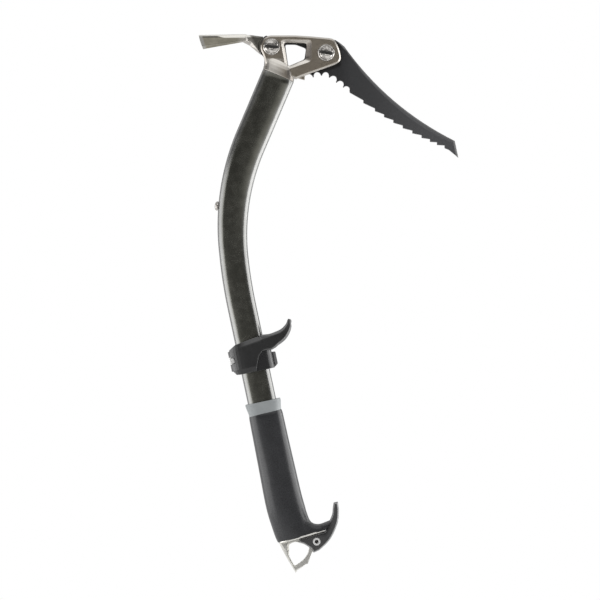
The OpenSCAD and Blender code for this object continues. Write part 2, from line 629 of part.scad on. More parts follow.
function hook_outline() = concat(
    [under_flange(-25), under_flange(0)],
    smooth([toe_tip + [bond_gap, -0.3], toe_tip + [2.4, 2.7], toe_tip + [4.3, 6], toe_tip + [5.6, 10.3]], 3),
    [hook_tip + [-3.8, 0], hook_tip],
    smooth([hook_tip + [-0.4, -6], hook_tip + [-4, -18.4], hook_tip + [-14, -32],
        hook_tip + [-26, -39.9]], 3),
    [spike_tip + [20.3, 15]],
    smooth([spike_tip + [18.8, 19.4], spike_tip + [12.8, 25.2]], 3),
    [floor_front + [-26, -6.2]]);

module hook() color("#262729") on_lower_shaft() difference() {
    bevel_plate(hook_outline(), hook_t, hook_bevel, hook_bevel * 0.45);
    plate(spike_t + 2 * bond_gap) polygon([floor_front + [-40, 0], floor_front + [bond_gap, 0],
        tongue_end + [bond_gap + 0.4, 0], tongue_end + [-5.4, -5.6], spike_tip + [18, 14], spike_tip]);
    across(hook_hole, -hook_t, hook_t, hook_screw_d / 2 + bond_gap);
    across(hook_hole, -hook_t, screw_sink - hook_t / 2, hook_head_d / 2 + bond_gap);
    across(hook_hole, hook_t / 2 - nut_sink, hook_t, hook_head_d / 2 + bond_gap);
}

module hook_screw() color("#b9b9b7") on_lower_shaft() difference() {
    union() {
        across(hook_hole, bond_gap - hook_t / 2, screw_sink - hook_t / 2, hook_head_d / 2);
        across(hook_hole, bond_gap - hook_t / 2, hook_t / 2 - nut_inset, hook_screw_d / 2);
    }
    translate([hook_hole[0], -hook_t / 2, hook_hole[1]]) rotate([-90, 0, 0])
        cylinder(d = hook_head_d * 0.55, h = 1.6, $fn = 6);
}

module hook_nut() color("#9b9b98") on_lower_shaft() difference() {
    across(hook_hole, hook_t / 2 - nut_sink, hook_t / 2 - nut_inset, hook_head_d / 2);
    across(hook_hole, 0, hook_t, hook_screw_d / 2 + run_gap);
}

// Finger rest, drawn upright along the lower shaft's axis

band_back = shaft_r + slide_gap + band_wall;
band_nose = shaft_r + band_front;
band_d = shaft_d + 2 * (slide_gap + band_wall);
rest_back = shaft_r + lug_back;
rest_nose = band_nose + 0.6;
rest_d = band_d + 2 * (bond_gap + rest_wall);
rest_top = rest_at + rest_h;
rest_rise = 4.4;
rest_chamfer = rest_wall * 0.75;
foot_chamfer_h = 4.6;
top_chamfer_h = 5.6;
bar_at = [-rest_back + bar_d / 2 + 0.1, -5];
bar_low = rest_at + 4.2;
bar_len = rest_h - 9.4;
bar_play = 0.2;
barrel_at = [bar_at[0], 10];
notch_in = bar_at[0] + bar_d / 2 + 0.5;
notch_low = rest_at + 11.1;
notch_high = rest_at + 17.3;
screw_z = (notch_low + notch_high) / 2;
knuckle_r = barrel_d / 2 + 0.6;
knuckle_low = rest_at + 5;
knuckle_h = 17;
head_y = bar_at[1] - bar_d / 2 - 2.2;

// An oval from back to nose along X, d deep
function long_oval(back, nose, d) = [for (q = oval(back + nose, d)) q + [(nose - back) / 2, 0]];

module slit() translate([-2 * rest_back, -slit_w / 2, rest_at - over])
    cube([2 * rest_back, slit_w, 3 * rest_h]);

function rest_side() = [[-shaft_r, rest_top], [shaft_r, rest_top + rest_rise], [rest_nose + 4, rest_top + 2],
    [rest_nose + 4, rest_at + 16.8], [shaft_r + 0.4, rest_at + 18], [shaft_r - 3.6, rest_at + 17.2],
    [shaft_r - 7.4, rest_at + 13.4], [shaft_r - 11, rest_at + 4.7], [shaft_r - 12, rest_at + 0.6],
    [-shaft_r + 1, rest_at], [-shaft_r - 4.2, rest_at + 0.4], [-rest_back + 0.8, rest_at + 4.6],
    [-rest_back, rest_at + 7], [-rest_back, rest_top - 8], [-rest_back + 1.4, rest_top - 3.8]];

// The collar's outside, chamfered at its level foot and at its sloping top
function rest_section(inset) =
    long_oval(rest_back - inset, rest_nose - inset, rest_d - 2 * inset);
function rest_rings() = let (full = rest_section(0), small = rest_section(rest_chamfer))
    let (slope = rest_rise / shaft_w, top = rest_top + slope * shaft_r)
    [level_ring(small, rest_at, 0), level_ring(full, rest_at + foot_chamfer_h, 0),
        level_ring(full, top - top_chamfer_h, slope), level_ring(small, top + 0.2, slope)];
function level_ring(o, z, slope) = [for (q = o) [q[0], q[1], z + slope * q[0]]];

// The horn: its upper and lower edges, from the root to the tip, its depth and its flat share there
horn_tip = [shaft_r + horn_reach, rest_top + 14.2];
function horn_edges() = let (r = horn_reach) [
    [[shaft_r - 2, rest_top + rest_rise], [shaft_r - 2, rest_at + 17.6], 1.07, 0.84],
    [[shaft_r + r * 0.2, rest_top + 3.4], [shaft_r + r * 0.22, rest_at + 16.7], 1.03, 0.78],
    [[shaft_r + r * 0.4, rest_top + 4.1], [shaft_r + r * 0.44, rest_at + 19.5], 0.96, 0.66],
    [[shaft_r + r * 0.58, rest_top + 5.2], [shaft_r + r * 0.68, rest_at + 22.8], 0.85, 0.56],
    [[shaft_r + r * 0.71, rest_top + 7], [shaft_r + r * 0.86, rest_at + 27.8], 0.73, 0.5],
    [[shaft_r + r * 0.83, rest_top + 9.8], [shaft_r + r * 0.975, rest_at + 33.8], 0.58, 0.5],
    [horn_tip + [-2.4, -0.6], horn_tip + [-0.4, -1.4], 0.4, 0.5]];
function horn_rings() = let (e = horn_edges())
    let (up = smooth([for (q = e) q[0]], 2), low = smooth([for (q = e) q[1]], 2))
    let (k = smooth([for (q = e) q[2]], 2), share = smooth([for (q = e) q[3]], 2))
    [for (i = [0:len(up) - 1]) let (h = up[i] - low[i], lean = atan2(h[1], -h[0]))
        ring((up[i] + low[i]) / 2, lean, chamfered(norm(h) / 2, horn_d * k[i] / 2, share[i]))];

module rest_collar() color("#222325") on_lower_shaft() difference() {
    union() {
        intersection() {
            plate(2 * rest_d) polygon(rest_side());
            skin(rest_rings());
        }
        skin(horn_rings());
    }
    translate([0, 0, rest_at - over]) linear_extrude(2 * rest_h)
        polygon(long_oval(band_back + bond_gap, band_nose + bond_gap, band_d + 2 * bond_gap));
    slit();
    translate([-2 * rest_back, -rest_d, notch_low]) cube([2 * rest_back + notch_in, rest_d - slit_w / 2,
        notch_high - notch_low]);
    translate([bar_at[0], bar_at[1], bar_low - bar_play])
        cylinder(d = bar_d + 2 * run_gap, h = bar_len + 2 * bar_play);
    translate([barrel_at[0], barrel_at[1], rest_at - over])
        cylinder(r = knuckle_r + lever_gap, h = 2 * rest_h);
    across([bar_at[0], screw_z], -rest_d, rest_d, tension_d / 2 + slide_gap);
}

module rest_band() color("#303133") on_lower_shaft() difference() {
    translate([0, 0, rest_at]) linear_extrude(rest_h - 3) polygon(long_oval(band_back, band_nose, band_d));
    translate([0, 0, rest_at - over]) linear_extrude(rest_h) lower_section(slide_gap);
    slit();
}

module anchor_bar() color("#cfcfcc") on_lower_shaft() difference() {
    translate([bar_at[0], bar_at[1], bar_low]) cylinder(d = bar_d, h = bar_len);
    across([bar_at[0], screw_z], -rest_d, rest_d, tension_d / 2 + run_gap);
}

module cam_barrel() color("#b5b5b2") on_lower_shaft() difference() {
    translate([barrel_at[0], barrel_at[1], bar_low]) cylinder(d = barrel_d, h = bar_len);
    across([barrel_at[0], screw_z], -rest_d, rest_d, tension_d / 2 + run_gap);
}

module tension_screw() color("#c6c6c3") on_lower_shaft() difference() {
    union() {
        across([bar_at[0], screw_z], head_y + 0.2, barrel_at[1] + barrel_d / 2 + 0.3, tension_d / 2);
        across([bar_at[0], screw_z], head_y, bar_at[1] - bar_d / 2 - slide_gap, tension_d * 0.85);
    }
    translate([bar_at[0], head_y, screw_z]) cube([2 * tension_d, 1.6, 0.7], center = true);
}

// The lever hugs the far side of the collar, from the barrel at the spine to a lip at the front
lever_end = round(sides * 0.36);
function lever_strip() = let (
    inner = long_oval(rest_back + lever_gap, rest_nose + lever_gap, rest_d + 2 * lever_gap),
    outer = long_oval(rest_back + lever_gap + lever_t, rest_nose + lever_gap + lever_t,
        rest_d + 2 * (lever_gap + lever_t)))
    concat([for (i = [1:lever_end]) outer[i]], [for (i = [lever_end:-1:1]) inner[i]]);

// A point inside the lever's knuckle, where its web starts
function knuckle_point(a) = barrel_at + knuckle_r * 0.9 * [cos(a), sin(a)];

module clamp_lever() color("#1f2022") on_lower_shaft() difference() {
    union() {
        intersection() {
            translate([0, 0, rest_at]) linear_extrude(rest_h) polygon(lever_strip());
            plate(4 * rest_d) polygon([[-rest_back - 9, rest_at + 8], [-shaft_r - 4, rest_at + 1.6],
                [rest_nose, rest_at + 0.6], [rest_nose + 3, rest_at + 3], [rest_nose + 5, rest_at + 9],
                [rest_nose + 4, rest_at + 13], [rest_nose + 2, rest_at + 14.4], [shaft_r - 4, rest_at + 15.4],
                [-shaft_r + 4, rest_at + 22], [-rest_back - 9, rest_at + 22]]);
        }
        translate([barrel_at[0], barrel_at[1], knuckle_low]) cylinder(r = knuckle_r, h = knuckle_h);
        translate([0, 0, knuckle_low]) linear_extrude(knuckle_h) polygon([knuckle_point(120),
            knuckle_point(55), lever_strip()[lever_end + 1], lever_strip()[lever_end - 2]]);
    }
    translate([barrel_at[0], barrel_at[1], rest_at]) cylinder(d = barrel_d + 2 * run_gap, h = rest_h);
    translate([barrel_at[0], barrel_at[1], notch_low])
        cylinder(r = knuckle_r + 0.8, h = notch_high - notch_low);
}

shaft();
spine_screw();
spine_insert();
head();
pick();
adze();
rear_bolt();
rear_nut();
front_bolt();
front_nut();
grip();
grip_ring();
spike();
spike_pins();
hook();
hook_screw();
hook_nut();
rest_collar();
rest_band();
anchor_bar();
tension_screw();
cam_barrel();
clamp_lever();
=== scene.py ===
# %% [markdown]
# # An ice climbing tool, dressed for its photograph
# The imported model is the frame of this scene: every solid has its true size and place, in metres, and each
# belongs to a body that can move. Nothing here moves the frame. Finer pieces stand in for the plain solids
# and ride on the same bodies. The record says which body and which material slot each solid has.

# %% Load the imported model
import json
import math

import bmesh
import bpy
from mathutils import Matrix, Vector


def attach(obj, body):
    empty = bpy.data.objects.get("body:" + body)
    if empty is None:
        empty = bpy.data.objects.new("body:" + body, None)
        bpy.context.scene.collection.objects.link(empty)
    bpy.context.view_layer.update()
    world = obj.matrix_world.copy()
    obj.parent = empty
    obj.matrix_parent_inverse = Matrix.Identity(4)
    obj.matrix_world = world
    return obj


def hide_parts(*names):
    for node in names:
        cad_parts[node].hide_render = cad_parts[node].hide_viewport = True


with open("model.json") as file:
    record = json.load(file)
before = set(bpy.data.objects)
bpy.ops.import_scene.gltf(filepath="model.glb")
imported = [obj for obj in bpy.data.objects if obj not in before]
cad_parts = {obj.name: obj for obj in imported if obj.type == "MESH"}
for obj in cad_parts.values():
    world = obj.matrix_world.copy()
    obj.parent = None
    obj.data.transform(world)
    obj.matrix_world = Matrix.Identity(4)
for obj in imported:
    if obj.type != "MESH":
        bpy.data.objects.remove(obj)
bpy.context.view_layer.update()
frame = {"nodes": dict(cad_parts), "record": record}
nodes = frame["nodes"]
groups = frame["record"]["behaviour"]["bodies"]
bodies = {node: body for body, members in groups.items() for node in members}
scene = bpy.context.scene
mm = 0.001

# %% [markdown]
# ## Camera
# The photograph is a product shot, square on to the flat side and taken from far away, so parallel edges
# stay parallel. An orthographic camera would come close; a long lens four metres off looks as flat and
# keeps the slight perspective of a real camera. The width of the view in the tool's own plane sets the
# focal length.

# %% Camera
view_width = 0.5568
view_centre = Vector((0.0206, 0, 0.1631))
camera_distance = 4.0
lens = bpy.data.cameras.new("photo_view")
lens.sensor_width = 36
lens.lens = lens.sensor_width * camera_distance / view_width
camera = bpy.data.objects.new("photo_view", lens)
camera.location = view_centre + Vector((0, -camera_distance, 0))
camera.rotation_euler = (math.radians(90), 0, 0)
scene.collection.objects.link(camera)
scene.camera = camera
scene.view_settings.view_transform = "Standard"
print("lens", round(lens.lens, 1), "mm")

# %% [markdown]
# ## Shader sums
# A finish is a small sum of noises and masks. Written out as nodes it is hard to read, so one class wraps
# a socket: adding or multiplying two of them adds the Math node, and every other node comes from one
# method. The Mix node has several sockets of the same name, so its colour sockets go by number.

# %% Shader sums
mix_factor, mix_first, mix_second, mix_result = 0, 6, 7, 2


class Wire:
    """A shader socket that takes part in sums; the bare wire of a tree only makes nodes."""

    def __init__(self, tree, socket=None):
        self.tree = tree
        self.socket = socket

    def node(self, kind, settings=None, sockets=None, out=0):
        """One node: its type, its settings, then the values or links of its sockets."""
        made = self.tree.nodes.new(kind)
        for name, value in (settings or {}).items():
            setattr(made, name, value)
        for key, value in (sockets or {}).items():
            if isinstance(value, Wire):
                value.into(made.inputs[key])
            else:
                made.inputs[key].default_value = value
        return Wire(self.tree, made.outputs[out])

    def into(self, socket):
        self.tree.links.new(self.socket, socket)

    def math(self, operation, a, b=0.0):
        return self.node("ShaderNodeMath", {"operation": operation}, {0: a, 1: b})

    def __add__(self, other):
        return self.math("ADD", self, other)

    def __sub__(self, other):
        return self.math("SUBTRACT", self, other)

    def __rsub__(self, other):
        return self.math("SUBTRACT", other, self)

    def __mul__(self, other):
        return self.math("MULTIPLY", self, other)

    __radd__ = __add__
    __rmul__ = __mul__

    def between(self, low, high):
        """A soft step: 0 below low, 1 above high."""
        settings = {"interpolation_type": "SMOOTHSTEP"}
        return self.node("ShaderNodeMapRange", settings, {0: self, 1: low, 2: high})

    def tint(self, dark, light):
        """A colour that runs from dark to light as this value goes from 0 to 1."""
        sockets = {mix_factor: self, mix_first: colour(dark), mix_second: colour(light)}
        return self.node("ShaderNodeMix", {"data_type": "RGBA"}, sockets, out=mix_result)

    def part(self, axis):
        """One axis of a vector."""
        return self.node("ShaderNodeSeparateXYZ", None, {0: self}, out=axis)


def colour(value):
    return value if isinstance(value, Wire) else (*value, 1)


print("sums: add, subtract, multiply, between, tint, part")

# %% [markdown]
# ## Studio light
# Metal shows what it reflects, so the room is drawn into the world. A picture of a studio could do it, but
# a room made of sums needs no file, and each part of it can be set alone. A white cove stands behind the
# tool, and its middle is shaded so that round edges keep a dark outline. The room in front is dim at eye
# level, so flat metal that faces the camera stays grey; it is brighter under the ceiling, from a hood
# above the camera, low on the right and towards the table. The camera itself sees plain white.

# %% Studio light
world = bpy.data.worlds.new("studio")
scene.world = world
world.use_nodes = True
bare = Wire(world.node_tree)
direction = bare.node("ShaderNodeTexCoord", out="Generated")
right, behind, height = (direction.part(axis) for axis in "XYZ")
cove = behind.between(0.15, 0.55) - 0.85 * behind.between(0.6, 0.9)
ceiling = height.between(0.55, 0.85)
table = (0 - height).between(-0.05, 0.45)
hood = height.between(0.3, 0.55) * (0 - behind).between(0.2, 0.7) * (1 - ceiling)
right_fill = right.between(0.05, 0.5) * (0 - height).between(-0.05, 0.2) * (1 - table)
front = 0.18 + 0.9 * ceiling + 1.0 * hood + 1.2 * table + 0.9 * right_fill
room = front + (1 - front) * cove
ray_kinds = ("Is Camera Ray", "Is Glossy Ray", "Is Transmission Ray")
camera_ray, glossy_ray, clear_ray = (bare.node("ShaderNodeLightPath", out=kind) for kind in ray_kinds)
white = camera_ray + (glossy_ray + clear_ray) * cove
background = world.node_tree.nodes["Background"]
background.inputs["Color"].default_value = (1, 1, 1, 1)
(room + (1 - room) * white).into(background.inputs["Strength"])
print("a room with", len(world.node_tree.nodes), "nodes")

# %% [markdown]
# ## Soft boxes
# Two large lamps draw the long stripes on the shaft, one on the left and a little in front, one on the
# right and a little behind. They could be drawn into the room as well, but lamps are sampled directly, so
# the stripes have little noise. Their strength is given as radiance, so a box keeps its brightness in a
# reflection when its size changes.


# %% Soft boxes
def soft_box(name, place, size, radiance):
    """A rectangular lamp that faces the middle of the view."""
    lamp = bpy.data.lights.new(name, "AREA")
    lamp.shape = "RECTANGLE"
    lamp.size, lamp.size_y = size
    lamp.energy = radiance * math.pi * size[0] * size[1]
    obj = bpy.data.objects.new(name, lamp)
    obj.location = Vector(place)
    obj.rotation_euler = (view_centre - obj.location).to_track_quat("-Z", "Y").to_euler()
    scene.collection.objects.link(obj)
    return lamp


left_box = soft_box("left_box", place=(-1.30, -0.15, 0.10), size=(1.5, 1.1), radiance=2.35)
right_box = soft_box("right_box", place=(1.30, 0.22, 0.20), size=(1.4, 1.7), radiance=2.9)
print("soft boxes of", round(left_box.energy, 1), "and", round(right_box.energy, 1), "W")

# %% [markdown]
# ## Floor
# In the photograph the tool stands free on plain white. A pale floor well below it gives the light
# something to bounce off. A plain disc would show its rim against the white, so the floor fades out before
# it ends.

# %% Floor
floor_level, floor_radius = -0.30, 1.4
fade_start, fade_end = 0.5, 1.35
bm = bmesh.new()
bmesh.ops.create_circle(bm, cap_ends=True, segments=96, radius=floor_radius)
mesh = bpy.data.meshes.new("floor")
bm.to_mesh(mesh)
bm.free()
floor = bpy.data.objects.new("floor", mesh)
floor.location = (view_centre.x, 0, floor_level)
scene.collection.objects.link(floor)
pale = bpy.data.materials.new("pale_floor")
pale.use_nodes = True
bare = Wire(pale.node_tree)
place = bare.node("ShaderNodeTexCoord", out="Object")
from_middle = bare.node("ShaderNodeVectorMath", {"operation": "LENGTH"}, {0: place}, out="Value")
shader = pale.node_tree.nodes["Principled BSDF"]
shader.inputs["Base Color"].default_value = (0.86, 0.86, 0.86, 1)
shader.inputs["Roughness"].default_value = 0.9
(1 - from_middle.between(fade_start, fade_end)).into(shader.inputs["Alpha"])
mesh.materials.append(pale)
print("a floor at", floor_level, "m")

# %% [markdown]
# ## From solid to piece
# The frame's solids have the right sizes, but their edges are knife sharp and their curves are facets, so
# paint alone wouldn't make them look real. Each is hidden behind a finer piece that rides on the same
# body, so the piece moves as the solid does.


# %% From solid to piece
def copied(node):
    """A solid's own shape as a mesh to work on, with its doubled corners joined."""
    bm = bmesh.new()
    bm.from_mesh(nodes[node].data)
    bmesh.ops.remove_doubles(bm, verts=bm.verts, dist=0.004 * mm)
    return bm


def piece(name, bm, node, finish):
    """A piece that stands for a solid: it rides on the solid's body, takes the finish it is given and hides
    the solid.
    """
    mesh = bpy.data.meshes.new(name)
    bm.to_mesh(mesh)
    bm.free()
    mesh.shade_smooth()
    mesh.materials.append(finish)
    obj = bpy.data.objects.new(name, mesh)
    scene.collection.objects.link(obj)
    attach(obj, bodies[node])
    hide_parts(node)
    return obj


print("a piece rides on one of", sorted(groups))

# %% [markdown]
# ## Cut pieces
# Turned and cut pieces keep their crisp form. Real edges are never quite sharp, and the narrow round on each
# is what catches the light. The rounds could be modelled one by one, but a bevel by angle finds them all. It
# can only follow true edges, so facets that lie in one plane are merged first. Faces in a recess get a
# second material, a painted shade.

# %% Cut pieces
flat_angle = math.radians(0.6)


def rounded(obj, edge, segments, angle):
    """A narrow round on each edge that is sharper than an angle."""
    bevel = obj.modifiers.new("edges", "BEVEL")
    bevel.width = edge * mm
    bevel.segments = segments
    bevel.limit_method = "ANGLE"
    bevel.angle_limit = math.radians(angle)
    bevel.use_clamp_overlap = False
    normals = obj.modifiers.new("normals", "WEIGHTED_NORMAL")
    normals.keep_sharp = False
    return obj


def crisp(node, finish, edge, segments=3, angle=32, recess=None, bm=None):
    """A cut or turned piece: the solid with a narrow round on its hard edges, and painted shade in its
    recess.
    """
    bm = bm or copied(node)
    bmesh.ops.dissolve_limit(bm, angle_limit=flat_angle, verts=bm.verts, edges=bm.edges)
    if recess:
        for face in bm.faces:
            face.material_index = int(recess(face.calc_center_median() / mm, face.normal))
    obj = piece(node + "_piece", bm, node, finish)
    if recess:
        obj.data.materials.append(recess_shade)
    return rounded(obj, edge, segments, angle)


print("crisp pieces merge facets under", round(math.degrees(flat_angle), 2), "degrees")

# %% [markdown]
# ## Moulded and lofted pieces
# Moulded, cast and forged pieces have no hard edge at all. They could be modelled with fillets, but one
# form runs into the next in too many ways, so they are remeshed in small cubes and smoothed, which rounds
# every corner. Long smooth forms, where a highlight would show each facet, are lofted afresh over rings of
# points.


# %% Moulded and lofted pieces
def moulded(node, finish, voxel, passes, swell=0.0, bm=None):
    """A moulded piece: the solid remeshed in small cubes, smoothed and swollen a little."""
    obj = piece(node + "_piece", bm or copied(node), node, finish)
    cubes = obj.modifiers.new("cubes", "REMESH")
    cubes.mode = "VOXEL"
    cubes.voxel_size = voxel * mm
    cubes.use_smooth_shade = True
    smooth = obj.modifiers.new("smooth", "SMOOTH")
    smooth.factor = 0.5
    smooth.iterations = passes
    if swell:
        skin = obj.modifiers.new("swell", "DISPLACE")
        skin.strength = swell * mm
        skin.mid_level = 0
    return obj


def loft(rings, closed=False, bm=None):
    """A mesh over rings of points, closed into a tube's wall or capped at both ends."""
    bm = bm or bmesh.new()
    corners = [[bm.verts.new(p) for p in ring] for ring in rings]
    steps = list(zip(corners, corners[1:]))
    if closed:
        steps.append((corners[-1], corners[0]))
    else:
        bm.faces.new(corners[0])
        bm.faces.new(corners[-1])
    for low, high in steps:
        for i in range(len(low)):
            bm.faces.new((low[i - 1], low[i], high[i], high[i - 1]))
    bmesh.ops.recalc_face_normals(bm, faces=bm.faces)
    return bm


print("ways to make a piece: crisp, moulded, loft")

# %% [markdown]
# ## Tools for finishes
# Every finish is a Principled shader. What is the same all over is set on its sockets; what changes over the
# surface comes from noise and masks in the tool's own coordinates, so a millimetre is a millimetre on every
# piece. Edges wear, and on several finishes they also get a painted sheen; the direction that a surface
# faces tells them apart.


# %% Tools for finishes
def material(name, look, **constants):
    """A material: constants on its sockets, and look(bare wire) gives the sockets that vary."""
    made = bpy.data.materials.new(name)
    made.use_nodes = True
    shader = made.node_tree.nodes["Principled BSDF"]
    for socket, value in constants.items():
        shader.inputs[socket].default_value = value
    for socket, wire in look(Wire(made.node_tree)).items():
        wire.into(shader.inputs[socket])
    return made


def spots(bare, size, detail=2.0, stretch=None):
    """Noise whose blots are about size millimetres, stretched by a factor on each axis."""
    place = bare.node("ShaderNodeTexCoord", out="Object")
    if stretch:
        place = bare.node("ShaderNodeMapping", None, {"Vector": place, "Scale": stretch})
    sockets = {"Vector": place, "Scale": 1 / (size * mm), "Detail": detail}
    return bare.node("ShaderNodeTexNoise", None, sockets)


def place_in_mm(bare, axis):
    """Where a point is along one axis of the tool, in millimetres."""
    return bare.node("ShaderNodeTexCoord", out="Object").part(axis) * 1000


def bumped(bare, height, depth):
    """A normal from a height between 0 and 1, depth millimetres tall."""
    return bare.node("ShaderNodeBump", None, {"Strength": 1.0, "Distance": depth * mm, "Height": height})


def facing(bare, axis):
    """How far the surface faces along one axis of the tool, from -1 to 1."""
    normal = bare.node("ShaderNodeNewGeometry", out="Normal")
    settings = {"vector_type": "NORMAL", "convert_from": "WORLD", "convert_to": "OBJECT"}
    return bare.node("ShaderNodeVectorTransform", settings, {0: normal}).part(axis)


def sideways(bare, edge=0.75, flat=0.97):
    """0 on the flat sides of the tool, 1 on its edges and bevels."""
    return 1 - bare.math("ABSOLUTE", facing(bare, "Y")).between(edge, flat)


print("masks by place, by direction and by noise")

# %% [markdown]
# ## Dark anodised aluminium
# The shaft is drawn tube, dark anodised with a satin grain. In the photograph its round edges are paler than
# its flat sides, so a painted sheen makes its colour paler where the surface faces sideways. A picture of
# the grain would have to be unwrapped; noise measured in millimetres needs no unwrapping, and a cloud of
# larger blots keeps the long sides from looking painted.


# %% Dark anodised aluminium
def anodised_look(bare):
    edge = sideways(bare)
    grains = spots(bare, 0.9, 2).between(0.45, 0.7)
    cloud = spots(bare, 9, 3).between(0.35, 0.65)
    speck = 0.25 * grains + 0.45 * cloud
    flat = speck.tint((0.088, 0.087, 0.074), (0.138, 0.136, 0.118))
    # painted sheen: the round edges are coloured paler, standing in for their highlight
    painted_sheen = speck.tint((0.195, 0.195, 0.190), (0.235, 0.235, 0.230))
    return {
        "Base Color": edge.tint(flat, painted_sheen),
        "Roughness": 0.20 + 0.06 * grains + 0.03 * cloud,
        "Normal": bumped(bare, grains, 0.006),
    }


anodised = material("dark_anodised", anodised_look, Metallic=0.9)
print("finish:", anodised.name)

# %% [markdown]
# ## Shaft's centreline
# The shaft is a bent tube with a squarish oval section, wider at the head. The light runs along it in two
# stripes, and a stripe shows every facet, so the tube is lofted afresh along the same centreline: a
# straight lower part, a slight bend, the main bend and a straight neck. Each bend has a radius, a turn and
# its steps.

# %% Shaft's centreline
lower_lean = math.radians(-12)
tail, straight, neck = -46 * mm, 160.5 * mm, 66 * mm
bends = ((450 * mm, math.radians(6.5), 16), (212 * mm, math.radians(28.5), 48))
straight_steps, neck_steps = 30, 12
shaft_width, shaft_top_width, shaft_depth, shaft_wall = 26.7 * mm, 31 * mm, 21 * mm, 1.9 * mm


def heading(lean):
    """The direction along the shaft where it leans, as (X, Z)."""
    return Vector((math.sin(lean), math.cos(lean)))


def on_arc(lean, now, radius):
    """The way along an arc from one lean to another, as (X, Z)."""
    return Vector((math.cos(lean) - math.cos(now), math.sin(now) - math.sin(lean))) * radius


def centreline():
    """Places along the shaft: the point, its lean and the shaft's width there."""
    lean = lower_lean
    places = []
    for i in range(straight_steps):
        along = tail + (straight - tail) * i / straight_steps
        places.append((heading(lean) * along, lean, shaft_width))
    point = heading(lean) * straight
    for number, (radius, turn, steps) in enumerate(bends):
        for i in range(steps):
            now = lean + turn * i / steps
            width = shaft_width + (shaft_top_width - shaft_width) * number * i / steps
            places.append((point + on_arc(lean, now, radius), now, width))
        point = point + on_arc(lean, lean + turn, radius)
        lean = lean + turn
    for i in range(neck_steps + 1):
        places.append((point + heading(lean) * neck * i / neck_steps, lean, shaft_top_width))
    return places


places = centreline()
print(len(places), "places along the shaft")

# %% [markdown]
# ## The tube
# A superellipse gives the squarish oval with one number. The outer skin runs up to a small lip at the
# head, then the inner skin runs back down, so the loft closes into a wall. Cutting a bore into a rod would
# give the same wall with worse faces.

# %% The tube
squareness = 2.6
round_sides = 96
lip = 0.35 * mm


def oval(width, depth, square=squareness):
    """A squarish oval, as (across, deep) pairs."""
    points = []
    for i in range(round_sides):
        c, s = math.cos(math.tau * i / round_sides), math.sin(math.tau * i / round_sides)
        across = math.copysign(abs(c) ** (2 / square), c) * width / 2
        deep = math.copysign(abs(s) ** (2 / square), s) * depth / 2
        points.append((across, deep))
    return points


def section(place, lean, width, depth):
    """An oval across the shaft at a place on its centreline."""
    across, up = math.cos(lean), -math.sin(lean)
    return [(place[0] + across * a, d, place[1] + up * a) for a, d in oval(width, depth)]


end, end_lean, end_width = places[-1]
outer = [section(p, lean, width, shaft_depth) for p, lean, width in places[:-1]]
outer.append(section(end - heading(end_lean) * lip, end_lean, end_width, shaft_depth))
outer.append(section(end, end_lean, end_width - 2 * lip, shaft_depth - 2 * lip))
bore_depth = shaft_depth - 2 * shaft_wall
inner = [section(p, lean, width - 2 * shaft_wall, bore_depth) for p, lean, width in places]
shaft = piece("shaft_tube", loft(outer + inner[::-1], closed=True), "shaft", anodised)
print("shaft ends at", [round(v, 4) for v in end])

# %% [markdown]
# ## Cast stainless steel
# The head is blasted after casting, then polished on its rims. The flare above the shaft gets a painted
# highlight, and so does the sill of the window, which faces up; walls that look left and the end of the
# flare get painted shade. These could be painted on by hand, but paint is lost when a mesh is made again, so
# each is a mask from a direction and a place. A pair is a soft step, in millimetres.

# %% Cast stainless steel
flare_fade, flare_top = (-5, 10), (385, 388)
flare_end_start, flare_end_stop = (4, 7), (16, 18)
sill_slope, sill_line = 0.34, (372.4, 373.4)
sill_right, sill_top = (30, 33), (388, 391)
right_wall_start, right_wall_stop, rear_end = (22, 25), (33, 36), (-11, -7)


def cast_look(bare):
    across, up = place_in_mm(bare, "X"), place_in_mm(bare, "Z")
    to_right, upwards = facing(bare, "X"), facing(bare, "Z")
    blast = spots(bare, 0.25, 2).between(0.3, 0.7)
    stain = spots(bare, 9, 4).between(0.4, 0.7)
    rim = sideways(bare, 0.84, 0.97)
    flare = (1 - across.between(*flare_fade)) * (1 - up.between(*flare_top))
    over_sill = (up - sill_slope * across).between(*sill_line)
    sill = upwards.between(0.2, 0.45) * over_sill
    sill = sill * (1 - across.between(*sill_right) - up.between(*sill_top))
    right_wall = across.between(*right_wall_start) * (1 - across.between(*right_wall_stop))
    # painted shade: walls that look left and the end of the flare are coloured darker
    dim = (0 - to_right).between(0.2, 0.5) * (right_wall + 0.6 * (1 - across.between(*rear_end)))
    flare_end = to_right.between(0.15, 0.4) * across.between(*flare_end_start)
    flare_end = flare_end * (1 - across.between(*flare_end_stop) - over_sill)
    steel = (0.35 * blast + 0.4 * stain).tint((0.240, 0.209, 0.168), (0.310, 0.274, 0.226))
    # painted highlight on the flare above the shaft
    steel = flare.tint(steel, (0.66, 0.63, 0.58))
    steel = rim.tint(steel, (0.46, 0.435, 0.40))
    # painted highlight on the sill of the window, which faces up
    steel = sill.tint(steel, (0.74, 0.71, 0.66))
    dim = dim + 0.75 * bare.math("MAXIMUM", flare_end, 0.0)
    return {
        "Base Color": dim.tint(steel, (0.15, 0.135, 0.122)),
        "Roughness": 0.36 + 0.08 * blast - 0.12 * rim,
        "Normal": bumped(bare, blast * (1 - rim), 0.015),
    }


cast_steel = material("cast_stainless", cast_look, Metallic=1.0)
print("finish:", cast_steel.name)

# %% [markdown]
# ## Cutting one mesh from another
# The window of the head and the floor of the grip are cut out of finished forms. It could be done face by
# face, but a Boolean modifier on a passing object is surer, and its result is kept as a plain mesh that
# can be worked on. The outline of a hole has rounded corners, each a quadratic curve.


